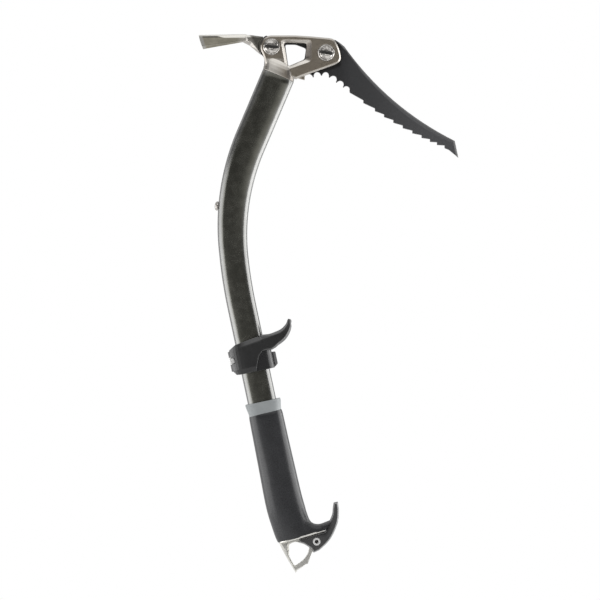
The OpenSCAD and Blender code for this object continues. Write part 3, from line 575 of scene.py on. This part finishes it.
# %% Cutting one mesh from another
def soft_polygon(corners, cut, steps=6):
    """A polygon whose corners are cut back and rounded."""
    points = []
    for i, corner in enumerate(corners):
        corner = Vector(corner)
        before = Vector(corners[i - 1]) - corner
        after = Vector(corners[(i + 1) % len(corners)]) - corner
        start, stop = corner + before.normalized() * cut, corner + after.normalized() * cut
        for j in range(steps + 1):
            t = j / steps
            points.append(start * (1 - t) ** 2 + corner * 2 * t * (1 - t) + stop * t * t)
    return points


def cut_away(bm, tool):
    """A mesh with another taken out of it."""
    holders = []
    for shape in (bm, tool):
        mesh = bpy.data.meshes.new("cut")
        shape.to_mesh(mesh)
        shape.free()
        holders.append(bpy.data.objects.new("cut", mesh))
        scene.collection.objects.link(holders[-1])
    body, cutter = holders
    cut = body.modifiers.new("cut", "BOOLEAN")
    cut.object = cutter
    cut.operation = "DIFFERENCE"
    result = bmesh.new()
    result.from_object(body, bpy.context.evaluated_depsgraph_get())
    for obj in holders:
        mesh = obj.data
        bpy.data.objects.remove(obj)
        bpy.data.meshes.remove(mesh)
    return result


print("ways to cut: soft_polygon, cut_away")

# %% [markdown]
# ## Head
# The head is a stainless casting: two cheeks with a window, and a socket on the shaft. Remeshing softens
# its edges as a casting's are. The window's broad bevel is a form of its own, so it is cut first: a loft
# from a wide rim on the cheek to the window's hole inside is taken out of the solid, on both sides.

# %% Head
head_origin = Vector((0.53, 0, 371.32))
head_half = 7.0
window_hole = [(5.3, 30.3), (26.2, 29.5), (25, 15.1), (9.1, 8.4)]
window_rim = [(1.6, 32.9), (31.2, 32.5), (31.4, 13.2), (6.8, 4.8)]
hole_corner, rim_corner = 2.6, 3.4
lip_depth, proud = 2.4, 0.02


def in_head(points, deep):
    """Points of the head's own plane at a depth, in the tool's frame."""
    return [(head_origin + Vector((p.x, deep, p.y))) * mm for p in points]


lips = bmesh.new()
for cheek in (-1, 1):
    outside = in_head(soft_polygon(window_rim, rim_corner), cheek * (head_half + proud))
    inside = in_head(soft_polygon(window_hole, hole_corner), cheek * (head_half - lip_depth))
    loft([outside, inside], bm=lips)
head = moulded("head", cast_steel, voxel=0.3, passes=5, bm=cut_away(copied("head"), lips))
print("head", len(head.data.polygons), "faces before remeshing")

# %% [markdown]
# ## Black coated steel
# The pick is cut from plate and coated black. Painted shade darkens the coat under the head's rim and, more
# faintly, near the head; the coat is paler towards the point and in a band along the back, its bevels are
# worn paler and carry a faint painted highlight, and it is bare at the point. The back is a parabola and the
# head's rim a straight line, so both can be written as sums of the place, in millimetres. The plate keeps
# crisp edges, so a fine bevel on the solid is enough.

# %% Black coated steel
back_middle, back_height, back_slope, back_curve = 110, 345.8, -0.86, 0.004375
back_width, back_start = (3.2, 4.6), (72, 80)
rim_middle, rim_height, rim_slope = 24.3, 371.0, 0.335
shade_width, shade_end = (1.0, 4.2), (57, 60)
point_slope, point_line, point_width = 0.207, 228.65, (-2.3, -1.5)
near_head, whole_blade = (57, 70), (62, 158)


def coated_look(bare):
    across, up = place_in_mm(bare, "X"), place_in_mm(bare, "Z")
    grain = spots(bare, 0.3, 2).between(0.3, 0.7)
    rub = spots(bare, 5, 4).between(0.45, 0.7)
    worn = sideways(bare) * (0.35 + 0.65 * rub)
    bevel = sideways(bare, 0.93, 0.985)
    point = (across + point_slope * up - point_line).between(*point_width)
    out = across - back_middle
    below_back = back_height + back_slope * out + back_curve * out * out - up
    back = (1 - below_back.between(*back_width)) * across.between(*back_start)
    below_rim = rim_height + rim_slope * (across - rim_middle) - up
    shade = (1 - below_rim.between(*shade_width)) * (1 - across.between(*shade_end))
    # darker near the head: a faint painted shade of the head, paler towards the point
    tone = 0.25 * across.between(*near_head) + 0.75 * across.between(*whole_blade)
    coat = tone.tint((0.022, 0.022, 0.0235), (0.074, 0.074, 0.0775))
    coat = back.tint(coat, (0.098, 0.098, 0.101))
    # painted shade under the head's rim
    coat = shade.tint(coat, (0.004, 0.0035, 0.0035))
    # bevels: wear and a faint painted highlight; the point is bare steel
    coat = bare.math("MAXIMUM", 0.45 * bevel, point).tint(coat, (0.20, 0.198, 0.198))
    return {
        "Base Color": worn.tint(coat, (0.13, 0.129, 0.129)),
        "Roughness": 0.42 + 0.08 * grain - 0.06 * worn,
        "Normal": bumped(bare, grain, 0.01),
    }


black_steel = material("black_coated_steel", coated_look, Metallic=0.35)
pick = crisp("pick", black_steel, edge=0.18, segments=2)
print("pick", len(pick.data.polygons), "faces")

# %% [markdown]
# ## Forged steel and the adze
# The adze is forged, with a satin face and a ground cutting end. Painted highlights run along its top and in
# its throat, painted shade lies in a hollow below the top edge, and painted shade darkens its root where it
# enters the head. Its own top line and end line carry these masks. The blade is remeshed, which rounds its
# edges like a forging's.

# %% Forged steel and the adze
top_height, top_slope = 410.35, 0.0253
top_band, band_step, band_growth = (-1.9, -1.1), (-57, -49), 1.9
hollow_low, hollow_high, hollow_reach = (-3.6, -2.6), (-1.9, -1.2), (48, 58)
throat_start = (-39, -31)
end_slope, end_line, end_step = 0.323, 58.8, (2.2, 3.4)
root_slope, root_line = 0.535, (-27.5, -24.5)


def forged_look(bare):
    across, up = place_in_mm(bare, "X"), place_in_mm(bare, "Z")
    lines = spots(bare, 0.5, 2, (0.08, 1, 1)).between(0.3, 0.7)
    cloud = spots(bare, 7, 3).between(0.35, 0.7)
    below_top = up - (top_height + top_slope * across)
    top = (below_top + band_growth * across.between(*band_step)).between(*top_band)
    hollow = below_top.between(*hollow_low) * (1 - below_top.between(*hollow_high))
    hollow = hollow * (0 - across).between(*hollow_reach)
    throat = across.between(*throat_start) * (0.6 + 0.4 * sideways(bare, 0.7, 0.88))
    cutting_end = 1 - (across + end_slope * up - end_line).between(*end_step)
    root = (across + root_slope * below_top).between(*root_line)
    steel = (0.3 * lines + 0.5 * cloud).tint((0.182, 0.170, 0.137), (0.275, 0.258, 0.213))
    steel = cutting_end.tint(steel, (0.255, 0.250, 0.235))
    # painted highlight in the throat
    steel = throat.tint(steel, (0.42, 0.40, 0.375))
    # painted shade in the hollow below the top edge
    steel = (hollow * (1 - cutting_end)).tint(steel, (0.055, 0.052, 0.042))
    # painted highlight along the top
    steel = (top * (1 - root)).tint(steel, (0.78, 0.76, 0.71))
    return {
        # painted shade on the root where it enters the head
        "Base Color": root.tint(steel, (0.15, 0.143, 0.125)),
        "Roughness": 0.30 + 0.10 * lines,
        "Normal": bumped(bare, lines, 0.01),
    }


forged_steel = material("forged_steel", forged_look, Metallic=1.0)
adze = moulded("adze", forged_steel, voxel=0.3, passes=8)
print("adze", len(adze.data.polygons), "faces before remeshing")

# %% [markdown]
# ## Plated and bright steel
# Bolts and nuts are plated, and their soft domes reflect the room in blots. The blots could be modelled as
# dents, but they are shallow, so the plating is dull in places and a bump makes its surface roll gently.
# Small screws are bright all over. Slots and sockets get a dark, mottled painted shade.


# %% Plated and bright steel
def plated_look(bare):
    grain = spots(bare, 0.6, 3).between(0.3, 0.7)
    dull = spots(bare, 2.4, 2).between(0.42, 0.6)
    return {
        "Base Color": (0.3 * grain + 0.7 * dull).tint((0.25, 0.235, 0.22), (0.60, 0.58, 0.55)),
        "Roughness": 0.08 + 0.05 * grain,
        "Normal": bumped(bare, spots(bare, 3.2, 1), 0.6),
    }


def bright_look(bare):
    grain = spots(bare, 0.4, 2).between(0.3, 0.7)
    return {
        "Base Color": grain.tint((0.80, 0.80, 0.79), (0.90, 0.90, 0.89)),
        "Roughness": 0.42 + 0.10 * grain,
    }


# painted shade for the faces of slots and sockets
def recess_shade_look(bare):
    shade_mottle = spots(bare, 0.5, 3).between(0.3, 0.7)
    return {
        "Base Color": shade_mottle.tint((0.020, 0.019, 0.018), (0.045, 0.043, 0.040)),
        "Roughness": 0.6 + 0.2 * shade_mottle,
    }


plated_steel = material("plated_steel", plated_look, Metallic=1.0)
bright_steel = material("bright_steel", bright_look, Metallic=1.0)
recess_shade = material("recess_shade", recess_shade_look)
print("finishes:", plated_steel.name, bright_steel.name, recess_shade.name)

# %% [markdown]
# ## Fasteners
# Bolts, nuts and screws are turned, and a fine round on their edges is what makes them read as metal. The
# slots of the two bolts are turned a little from level. The faces of a recess, which get painted shade,
# could be picked by hand, but a test on each face finds them again whenever the model changes.

# %% Fasteners
head_edge, hidden_edge = (0.14, 2, 28), (0.12, 2, 40)
slot_floor, slot_slack, slot_walls = -8.2, 0.05, 0.97
rear_turn, front_turn = -5, -10
hex_place, hex_reach, hex_floor, hex_mouth = Vector((36.04, -60.84)), 2.0, -5, -6.84


def slot_of(turn):
    """A test for the faces of a bolt's slot, which is turned a little from level."""
    across = Vector((-math.sin(math.radians(turn)), 0, math.cos(math.radians(turn))))

    def test(centre, normal):
        on_floor = abs(centre.y - slot_floor) < slot_slack
        return on_floor or (centre.y < slot_floor and abs(normal.dot(across)) > slot_walls)

    return test


def hex_of(centre, normal):
    """A test for the faces of the hook screw's socket."""
    from_axis = (Vector((centre.x, centre.z)) - hex_place).length
    return from_axis < hex_reach and hex_mouth < centre.y < hex_floor


fasteners = [
    crisp("rear_bolt", plated_steel, *head_edge, slot_of(rear_turn)),
    crisp("front_bolt", plated_steel, *head_edge, slot_of(front_turn)),
    crisp("hook_screw", bright_steel, *head_edge, hex_of),
]
for node in ("rear_nut", "front_nut", "spine_screw", "hook_nut"):
    fasteners.append(crisp(node, plated_steel, *head_edge))
for node in ("spine_insert", "spike_pins", "cam_barrel"):
    fasteners.append(crisp(node, plated_steel, *hidden_edge))
fasteners.append(crisp("tension_screw", bright_steel, *hidden_edge))
print(len(fasteners), "fasteners")

# %% [markdown]
# ## Ground steel
# The spike is plate, ground all over. The grinding runs along the blade, so the noise is drawn out
# lengthwise. The scratches are far too fine to model, so they are a shallow bump.


# %% Ground steel
def ground_look(bare):
    lines = spots(bare, 0.3, 2, (1, 1, 0.1)).between(0.3, 0.7)
    cloud = spots(bare, 6, 3).between(0.35, 0.7)
    return {
        "Base Color": (0.3 * lines + 0.5 * cloud).tint((0.66, 0.65, 0.61), (0.80, 0.79, 0.75)),
        "Roughness": 0.24 + 0.08 * lines,
        "Normal": bumped(bare, lines, 0.0008),
    }


ground_steel = material("ground_steel", ground_look, Metallic=1.0)
print("finish:", ground_steel.name)

# %% [markdown]
# ## Spike's blade
# The blade is a ring of steel round the clip hole. A flat plate with a hole makes poor faces for bevels,
# so it is cut by rays from the middle of the hole and lofted round: each ray gives one section, with a
# wide bevel on the left limb and fine ones elsewhere. From here on, places are across, through and along
# the lower shaft.

# %% Spike's blade
spike_outline = [
    (-11.95, -60.5), (-10.25, -67.5), (-7.65, -76), (-2.55, -91.4), (-0.55, -89.6), (8.45, -85.6),
    (10.25, -85.6), (16.15, -76.3), (24.4, -70.9), (30.4, -65.9), (32.4, -59.3),
]
clip_hole = [
    (-3.35, -64.4), (3.05, -63.1), (15.25, -69.5), (12.15, -76.6), (7.05, -81.3), (-2.15, -85.3),
    (-5.25, -75.4),
]
hole_centre, clip_corner = Vector((3, -73)), 1.8
spike_half, spike_rays = 3.0, 90
limb_side, limb_spread = math.radians(185), 1.6
fine_bevel, edge_land, edge_slant = 0.3, 0.25, 0.2
outer_bevel, outer_share, inner_bevel, inner_share = 2.6, 0.42, 1.3, 0.2


def lower_point(across, deep, along):
    """A point given across, through and along the leaning lower shaft, in millimetres."""
    c, s = math.cos(lower_lean), math.sin(lower_lean)
    return Vector((c * across + s * along, deep, c * along - s * across)) * mm


def reach(outline, angle):
    """How far a closed outline is from the hole's centre, along a ray."""
    ray = Vector((math.cos(angle), math.sin(angle)))
    for i, corner in enumerate(outline):
        start = Vector(outline[i - 1]) - hole_centre
        run = Vector(corner) - hole_centre - start
        turn = ray.x * run.y - ray.y * run.x
        if abs(turn) > 1e-9:
            share = (start.x * ray.y - start.y * ray.x) / turn
            far = (start.x * run.y - start.y * run.x) / turn
            if -1e-9 <= share <= 1 + 1e-9 and far > 0:
                return far
    raise ValueError("the outline doesn't go round the hole")


def spike_section(angle):
    """The blade cut along a ray: a wide bevel on the left limb and fine ones elsewhere."""
    ray = Vector((math.cos(angle), math.sin(angle)))
    outer, inner = reach(spike_outline, angle), reach(soft_hole, angle)
    limb = min(1, limb_spread * max(0.0, math.cos(angle - limb_side)))
    wide = fine_bevel + min(outer_bevel, outer_share * (outer - inner)) * limb
    narrow = fine_bevel + min(inner_bevel, inner_share * (outer - inner)) * limb
    edge, rim = spike_half - (edge_land + edge_slant * (wide - fine_bevel)), spike_half - narrow
    near = [(outer, -edge), (outer - wide, -spike_half), (inner + narrow, -spike_half), (inner, -rim)]
    row = near + [(far, -deep) for far, deep in reversed(near)]
    return [lower_point(hole_centre.x + ray.x * f, d, hole_centre.y + ray.y * f) for f, d in row]


soft_hole = soft_polygon(clip_hole, clip_corner)
corner_rays = [math.atan2(b - hole_centre.y, a - hole_centre.x) % math.tau for a, b in spike_outline]
rays = sorted(corner_rays + [math.tau * i / spike_rays for i in range(spike_rays)])
spike_shape = loft([spike_section(angle) for angle in rays], closed=True)
print("spike's blade from", len(rays), "sections")

# %% [markdown]
# ## Spike's flange and tenon
# Above the blade a thin flange closes the rubber, as wide as the grip in the middle and as the toe at its
# right end. Its round edge draws one bright line, which a bevel on a plate of changing width could break,
# so it is lofted in sections across. A hollow tenon goes up into the shaft.

# %% Spike's flange and tenon
flange_left, flange_right, flange_steps = -11.95, 34.95, 60
flange_height, flange_slope, flange_edge, edge_steps = -60.8, 2.6 / 44.35, 0.8, 12
curl, curl_start = 0.06, 29
body_middle, body_length, body_half, blend = 6.2, 18.2, 13.3, 6
toe_least, toe_growth, toe_start, toe_run = 3.05, 5.9, 2, 14
toe_taper, taper_start, taper_run = 2.6, 24, 10
tenon = [(-60.3, 22.6, 16.9), (-18.5, 22.6, 16.9), (-18.5, 16.6, 10.9), (-55.5, 16.6, 10.9)]


def flange_section(across):
    """The flange cut across: a thin plate with round edges, as wide as the rubber above it."""
    along = flange_height + flange_slope * (across - flange_left)
    along = along + curl * max(0.0, across - curl_start) ** 2
    off_middle = abs((across - body_middle) / body_length)
    body = body_half * max(0.0, 1 - off_middle ** squareness) ** (1 / squareness)
    toe = toe_least + toe_growth * min(1.0, max(0.0, (across - toe_start) / toe_run))
    toe = toe - toe_taper * max(0.0, (across - taper_start) / taper_run)
    half = (body ** blend + toe ** blend) ** (1 / blend) - flange_edge
    arc = [math.radians(180 * i / edge_steps - 90) for i in range(edge_steps + 1)]
    front = [(-half - flange_edge * math.cos(a), along + flange_edge * math.sin(a)) for a in arc]
    back = [(-deep, up) for deep, up in reversed(front)]
    return [lower_point(across, deep, up) for deep, up in front + back]


flange_run = (flange_right - flange_left) / flange_steps
loft([flange_section(flange_left + flange_run * i) for i in range(flange_steps + 1)], bm=spike_shape)
loft([[lower_point(a, d, along) for a, d in oval(w, t)] for along, w, t in tenon], bm=spike_shape)
bmesh.ops.remove_doubles(spike_shape, verts=spike_shape.verts, dist=0.001 * mm)
spike = piece("spike_piece", spike_shape, "spike", ground_steel)
rounded(spike, edge=0.2, segments=3, angle=20)
print("spike", len(spike.data.polygons), "faces")

# %% [markdown]
# ## Grip rubber
# The grip is moulded rubber, matt and finely pored, a little uneven in tone. Its pores are too small to
# model, so a bump stands for them, and two sizes of noise vary the black.


# %% Grip rubber
def rubber_look(bare):
    pores = spots(bare, 0.45, 2).between(0.35, 0.65)
    cloud = spots(bare, 12, 3).between(0.3, 0.7)
    return {
        "Base Color": (0.4 * pores + 0.5 * cloud).tint((0.017, 0.0175, 0.0195), (0.028, 0.0285, 0.031)),
        "Roughness": 0.25 + 0.08 * pores,
        "Normal": bumped(bare, pores, 0.006),
    }


rubber = material("grip_rubber", rubber_look)
print("finish:", rubber.name)

# %% [markdown]
# ## Grip's form
# The highlights of the grip show how round it is, so the handle is lofted afresh, squarish like the shaft
# at the top and rounder below. Each row of its profile is a height along the shaft, the back edge, the
# front edge and the depth, and a smooth curve runs through the rows. The toe is a second loft under the
# fingers.

# %% Grip's form
grip_profile = [
    (63, -12.2, 14.2, 21), (58.7, -14.35, 16.15, 26.2), (51.7, -14.85, 16.45, 27),
    (32.3, -15.25, 16.65, 27.4), (5.9, -15.85, 17.15, 27.8), (-18.2, -16.45, 17.65, 27.8),
    (-32.2, -16.25, 18.45, 27.8), (-44.2, -15.15, 19.85, 27.4), (-56.5, -13.55, 21.95, 26.6),
    (-67, -10.6, 24.6, 25.4),
]
grip_steps, toe_steps = 80, 24
round_square, square_growth, round_below, round_over = 2.1, 0.5, 10, 45
toe_top = [(18.2, -43.5), (21.8, -49.5), (26.4, -51.9), (30.8, -52.0), (41.1, -50.3)]
toe_half, toe_bevel, toe_sink, toe_floor = 8.5, 4.0, 2, -60


def curve_at(points, t):
    """A point on a smooth curve through points, t from 0 to 1."""
    at = min(t * (len(points) - 1), len(points) - 1.000001)
    i, u = int(at), at - int(at)
    a, b, c, d = (Vector(points[min(max(i + k, 0), len(points) - 1)]) for k in (-1, 0, 1, 2))
    return b + 0.5 * u * (c - a + u * (2 * a - 5 * b + 4 * c - d + u * (3 * (b - c) + d - a)))


def grip_ring_at(t):
    """One section of the rubber: squarish like the shaft at the top, rounder below."""
    along, back, front, depth = (curve_at([(p[k], 0) for p in grip_profile], t).x for k in range(4))
    square = round_square + square_growth * min(1.0, max(0.0, (along - round_below) / round_over))
    middle = (back + front) / 2
    return [lower_point(middle + a, d, along) for a, d in oval(front - back, depth, square)]


toe_curve = [tuple(curve_at(toe_top, i / toe_steps)) for i in range(toe_steps + 1)]
toe_line = [(10.4, -43.5)] + toe_curve + [(41, -66), (10.4, -66)]
toe_rings = []
for deep in (-toe_half, -toe_half + toe_bevel, toe_half - toe_bevel, toe_half):
    sink = toe_sink if abs(deep) == toe_half else 0
    toe_rings.append([lower_point(a, deep, b - sink * (b > toe_floor)) for a, b in toe_line])
grip_shape = loft([grip_ring_at(i / grip_steps) for i in range(grip_steps + 1)])
loft(toe_rings, bm=grip_shape)
print("grip from", grip_steps + 1, "sections, and a toe")

# %% [markdown]
# ## Grip's skin
# Remeshing joins the toe to the handle, and the crease between them is smoothed until one flows into the
# other. Smoothing all of the grip as much would shrink it, so only the crease is done. The floor over the
# flange and the hook is cut last, so it stays crisp.

# %% Grip's skin
under_grip = [
    (-31.95, -59.3), (-11.95, -60.5), (33.3, -57.9), (40.7, -49.2), (50.1, -43.8), (50.1, -110.8),
    (-31.95, -100.5),
]
under_half = 30
crease_across, crease_along, crease_passes = (8, 31), (-64, -34), 80
hard_angle = math.radians(40)


def slab(bm, corners, half):
    """A flat plate across the tool, added to a mesh."""
    return loft([[lower_point(a, y, b) for a, b in corners] for y in (-half, half)], bm=bm)


def settled(obj):
    """A piece's mesh with its modifiers worked in."""
    bm = bmesh.new()
    bm.from_object(obj, bpy.context.evaluated_depsgraph_get())
    obj.modifiers.clear()
    return bm


def in_crease(point):
    """Whether a point of the grip is where its toe runs into the handle."""
    c, s = math.cos(lower_lean), math.sin(lower_lean)
    across, along = c * point.x - s * point.z, s * point.x + c * point.z
    return crease_across[0] < across < crease_across[1] and crease_along[0] < along < crease_along[1]


def soften(bm, near, passes):
    """Smooths a mesh where near(point) holds."""
    soft = [v for v in bm.verts if near(v.co / mm)]
    axes = {"use_axis_x": True, "use_axis_y": True, "use_axis_z": True}
    for _ in range(passes):
        bmesh.ops.smooth_vert(bm, verts=soft, factor=0.5, **axes)


grip = moulded("grip", rubber, voxel=0.6, passes=16, swell=0.3, bm=grip_shape)
grip_skin = settled(grip)
soften(grip_skin, in_crease, crease_passes)
grip_skin = cut_away(grip_skin, slab(bmesh.new(), under_grip, under_half))
grip_skin.to_mesh(grip.data)
grip_skin.free()
grip.data.shade_smooth()
grip.data.set_sharp_from_angle(angle=hard_angle)
print("grip", len(grip.data.polygons), "faces")

# %% [markdown]
# ## Ring
# A plain light grey moulding closes the top of the rubber. It has one form and one soft edge, so a bevel
# on the solid is enough.


# %% Ring
def pale_look(bare):
    grain = spots(bare, 0.4, 2).between(0.3, 0.7)
    cloud = spots(bare, 8, 3).between(0.3, 0.7)
    return {
        "Base Color": (0.3 * grain + 0.5 * cloud).tint((0.245, 0.260, 0.265), (0.297, 0.314, 0.319)),
        "Roughness": 0.50 + 0.12 * grain,
        "Normal": bumped(bare, grain, 0.015),
    }


pale_plastic = material("pale_plastic", pale_look)
ring = crisp("grip_ring", pale_plastic, edge=0.5)
print("ring", len(ring.data.polygons), "faces")

# %% [markdown]
# ## Black plastic
# The hook, the collar and the lever are hard black plastic. Hands rub its edges pale, and a painted
# highlight on them adds to the wear; the outer half of the hook is paler, and the collar has a painted
# highlight, a paler brow along its top. The lever's lip, which stands out in front, gets a painted highlight
# all over. One look takes a level for the edges, a place for a lip and a mask for a paler side.

# %% Black plastic
hook_middle, hook_outer, hook_foot = (24.0, -40.9), (23.5, 27), (12, 17)
brow_middle, brow_height, brow_slope, brow_step = -12.8, 127.2, 0.36, (-0.6, 0.6)
brow_left, brow_right = (-37, -28), (-2, 4)
no_lip = 1000
out_across, out_up = 0.978, 0.208


def hook_flank(bare):
    """1 on the outer half of the hook's sides and on its foot."""
    right, up = place_in_mm(bare, "X") - hook_middle[0], place_in_mm(bare, "Z") - hook_middle[1]
    outer_half = bare.math("SQRT", right * right + up * up).between(*hook_outer)
    return bare.math("MAXIMUM", outer_half, (0 - up).between(*hook_foot))


def collar_brow(bare):
    """1 along the top of the collar's sides and into its horn, above a sloping line: a painted highlight."""
    across, up = place_in_mm(bare, "X"), place_in_mm(bare, "Z")
    over_line = up - brow_height - brow_slope * (across - brow_middle)
    return over_line.between(*brow_step) * across.between(*brow_left) * (1 - across.between(*brow_right))


def black_look(edge_level, lip_at=no_lip, flank=None, flank_level=0.0):
    """Black plastic whose edges are worn paler and given a painted highlight, up to a level; all that stands
    out past lip_at gets a painted highlight too.
    """

    def look(bare):
        grain = spots(bare, 0.35, 2).between(0.3, 0.7)
        cloud = spots(bare, 9, 3).between(0.3, 0.7)
        black = (0.35 * grain + 0.5 * cloud).tint((0.008, 0.008, 0.0083), (0.014, 0.014, 0.0143))
        if flank:
            black = flank(bare).tint(black, (flank_level, flank_level, 1.01 * flank_level))
        flatness = bare.math("ABSOLUTE", facing(bare, "Y"))
        # edges: wear and a painted highlight
        wear_and_sheen = flatness.between(0.1, 0.3) * (1 - flatness.between(0.5, 0.92))
        out_front = out_across * place_in_mm(bare, "X") + out_up * place_in_mm(bare, "Z")
        # the lip: a painted highlight
        wear_and_sheen = bare.math("MAXIMUM", wear_and_sheen, out_front.between(lip_at, lip_at + 1))
        return {
            "Base Color": wear_and_sheen.tint(black, (edge_level, edge_level, 1.01 * edge_level)),
            "Roughness": 0.31 + 0.08 * grain,
            "Normal": bumped(bare, grain, 0.008),
        }

    return look


# the collar's paler brow is a painted highlight
black_plastic = material("black_plastic", black_look(0.085, flank=collar_brow, flank_level=0.070))
hook_plastic = material("hook_plastic", black_look(0.21, flank=hook_flank, flank_level=0.048))
# the lever's lip gets a painted highlight
lever_plastic = material("lever_plastic", black_look(0.15, lip_at=17.2))
print("finishes:", black_plastic.name, hook_plastic.name, lever_plastic.name)

# %% [markdown]
# ## Hook
# The hook is screwed to the spike's plate under the toe. The solid has a slot there for the flange; a
# small plate fills it behind the flange, so no light shows through, and remeshing rounds the rest.

# %% Hook
slot_fill = [(33, -60.5), (38, -60.5), (40, -54), (35.5, -56.4), (33.4, -57.9)]
slot_fill_half = 6.9
hook_shape = slab(copied("hook"), slot_fill, slot_fill_half)
hook = moulded("hook", hook_plastic, voxel=0.35, passes=2, swell=0.15, bm=hook_shape)
print("hook", len(hook.data.polygons), "faces before remeshing")

# %% [markdown]
# ## Anchor bar
# The anchor bar is bright steel and lies in the spine of the finger rest. The tension screw passes through
# a small plate on it, which fills the notch behind the screw's head. The plate has a hole, so it is lofted
# round it.

# %% Anchor bar
screw_across, screw_along = -19.05, 113.2
plate_half_width, plate_half_height, plate_hole = 2.15, 2.9, 1.5
plate_front, plate_back, ray_count = -7.2, -4.5, 32


def notch_plate(angle):
    """The plate in the spine notch, cut along a ray from the screw's axis."""
    ray = Vector((math.cos(angle), math.sin(angle)))
    to_side = plate_half_width / max(abs(ray.x), 0.01)
    to_end = plate_half_height / max(abs(ray.y), 0.01)
    outer = min(to_side, to_end)
    corners = [(outer, plate_front), (outer, plate_back)]
    corners += [(plate_hole, plate_back), (plate_hole, plate_front)]
    places = [(screw_across + ray.x * far, deep, screw_along + ray.y * far) for far, deep in corners]
    return [lower_point(*place) for place in places]


plate_corner = math.atan2(plate_half_height, plate_half_width)
plate_rays = [math.tau * i / ray_count for i in range(ray_count)]
plate_rays += [turn + k * plate_corner for turn in (0, math.pi) for k in (-1, 1)]
plate_sections = [notch_plate(angle) for angle in sorted(angle % math.tau for angle in plate_rays)]
bar_shape = loft(plate_sections, closed=True, bm=copied("anchor_bar"))
anchor_bar = crisp("anchor_bar", bright_steel, *hidden_edge, bm=bar_shape)
print("anchor bar", len(anchor_bar.data.polygons), "faces")

# %% [markdown]
# ## Collar
# The collar and its horn are one moulding. The anchor bar is plugged in at both ends, and the tip of the
# horn is round, so two short bars and a ball are added before remeshing.

# %% Collar
plug_deep, plug_radius = -5, 2.5
plugs = ((103.2, 110.1), (116.3, 121.8))
horn_tip, horn_tip_radius = (40.25, 0, 138.0), 2.15


def plug(bm, low, high):
    """A short round bar along the lower shaft, at an end of the anchor bar, added to a mesh."""
    turn = Matrix.Rotation(lower_lean, 4, "Y")
    middle = Matrix.Translation(lower_point(screw_across, plug_deep, (low + high) / 2))
    radius, height = plug_radius * mm, (high - low) * mm
    bmesh.ops.create_cone(
        bm, cap_ends=True, segments=32, radius1=radius, radius2=radius, depth=height, matrix=middle @ turn
    )


collar_shape = copied("rest_collar")
for low, high in plugs:
    plug(collar_shape, low, high)
tip_place = Matrix.Translation(lower_point(*horn_tip))
bmesh.ops.create_uvsphere(
    collar_shape, u_segments=24, v_segments=16, radius=horn_tip_radius * mm, matrix=tip_place
)
collar = moulded("rest_collar", black_plastic, voxel=0.35, passes=3, bm=collar_shape)
print("collar", len(collar.data.polygons), "faces before remeshing")

# %% [markdown]
# ## Band and lever
# A smooth band hugs the shaft inside the collar, glossier than the rest, and the clamp lever lies round
# the far side with only its lip in view. The band is a plain ring, so a bevel is enough; the lever is
# moulded.


# %% Band and lever
def band_look(bare):
    grain = spots(bare, 0.5, 2).between(0.3, 0.7)
    return {
        "Base Color": grain.tint((0.011, 0.011, 0.0113), (0.017, 0.017, 0.0174)),
        "Roughness": 0.20 + 0.08 * grain,
        "Normal": bumped(bare, grain, 0.006),
    }


band_plastic = material("band_plastic", band_look)
band = crisp("rest_band", band_plastic, edge=0.3)
lever = moulded("clamp_lever", lever_plastic, voxel=0.35, passes=4)
print("band and lever; materials in all:", len(bpy.data.materials))
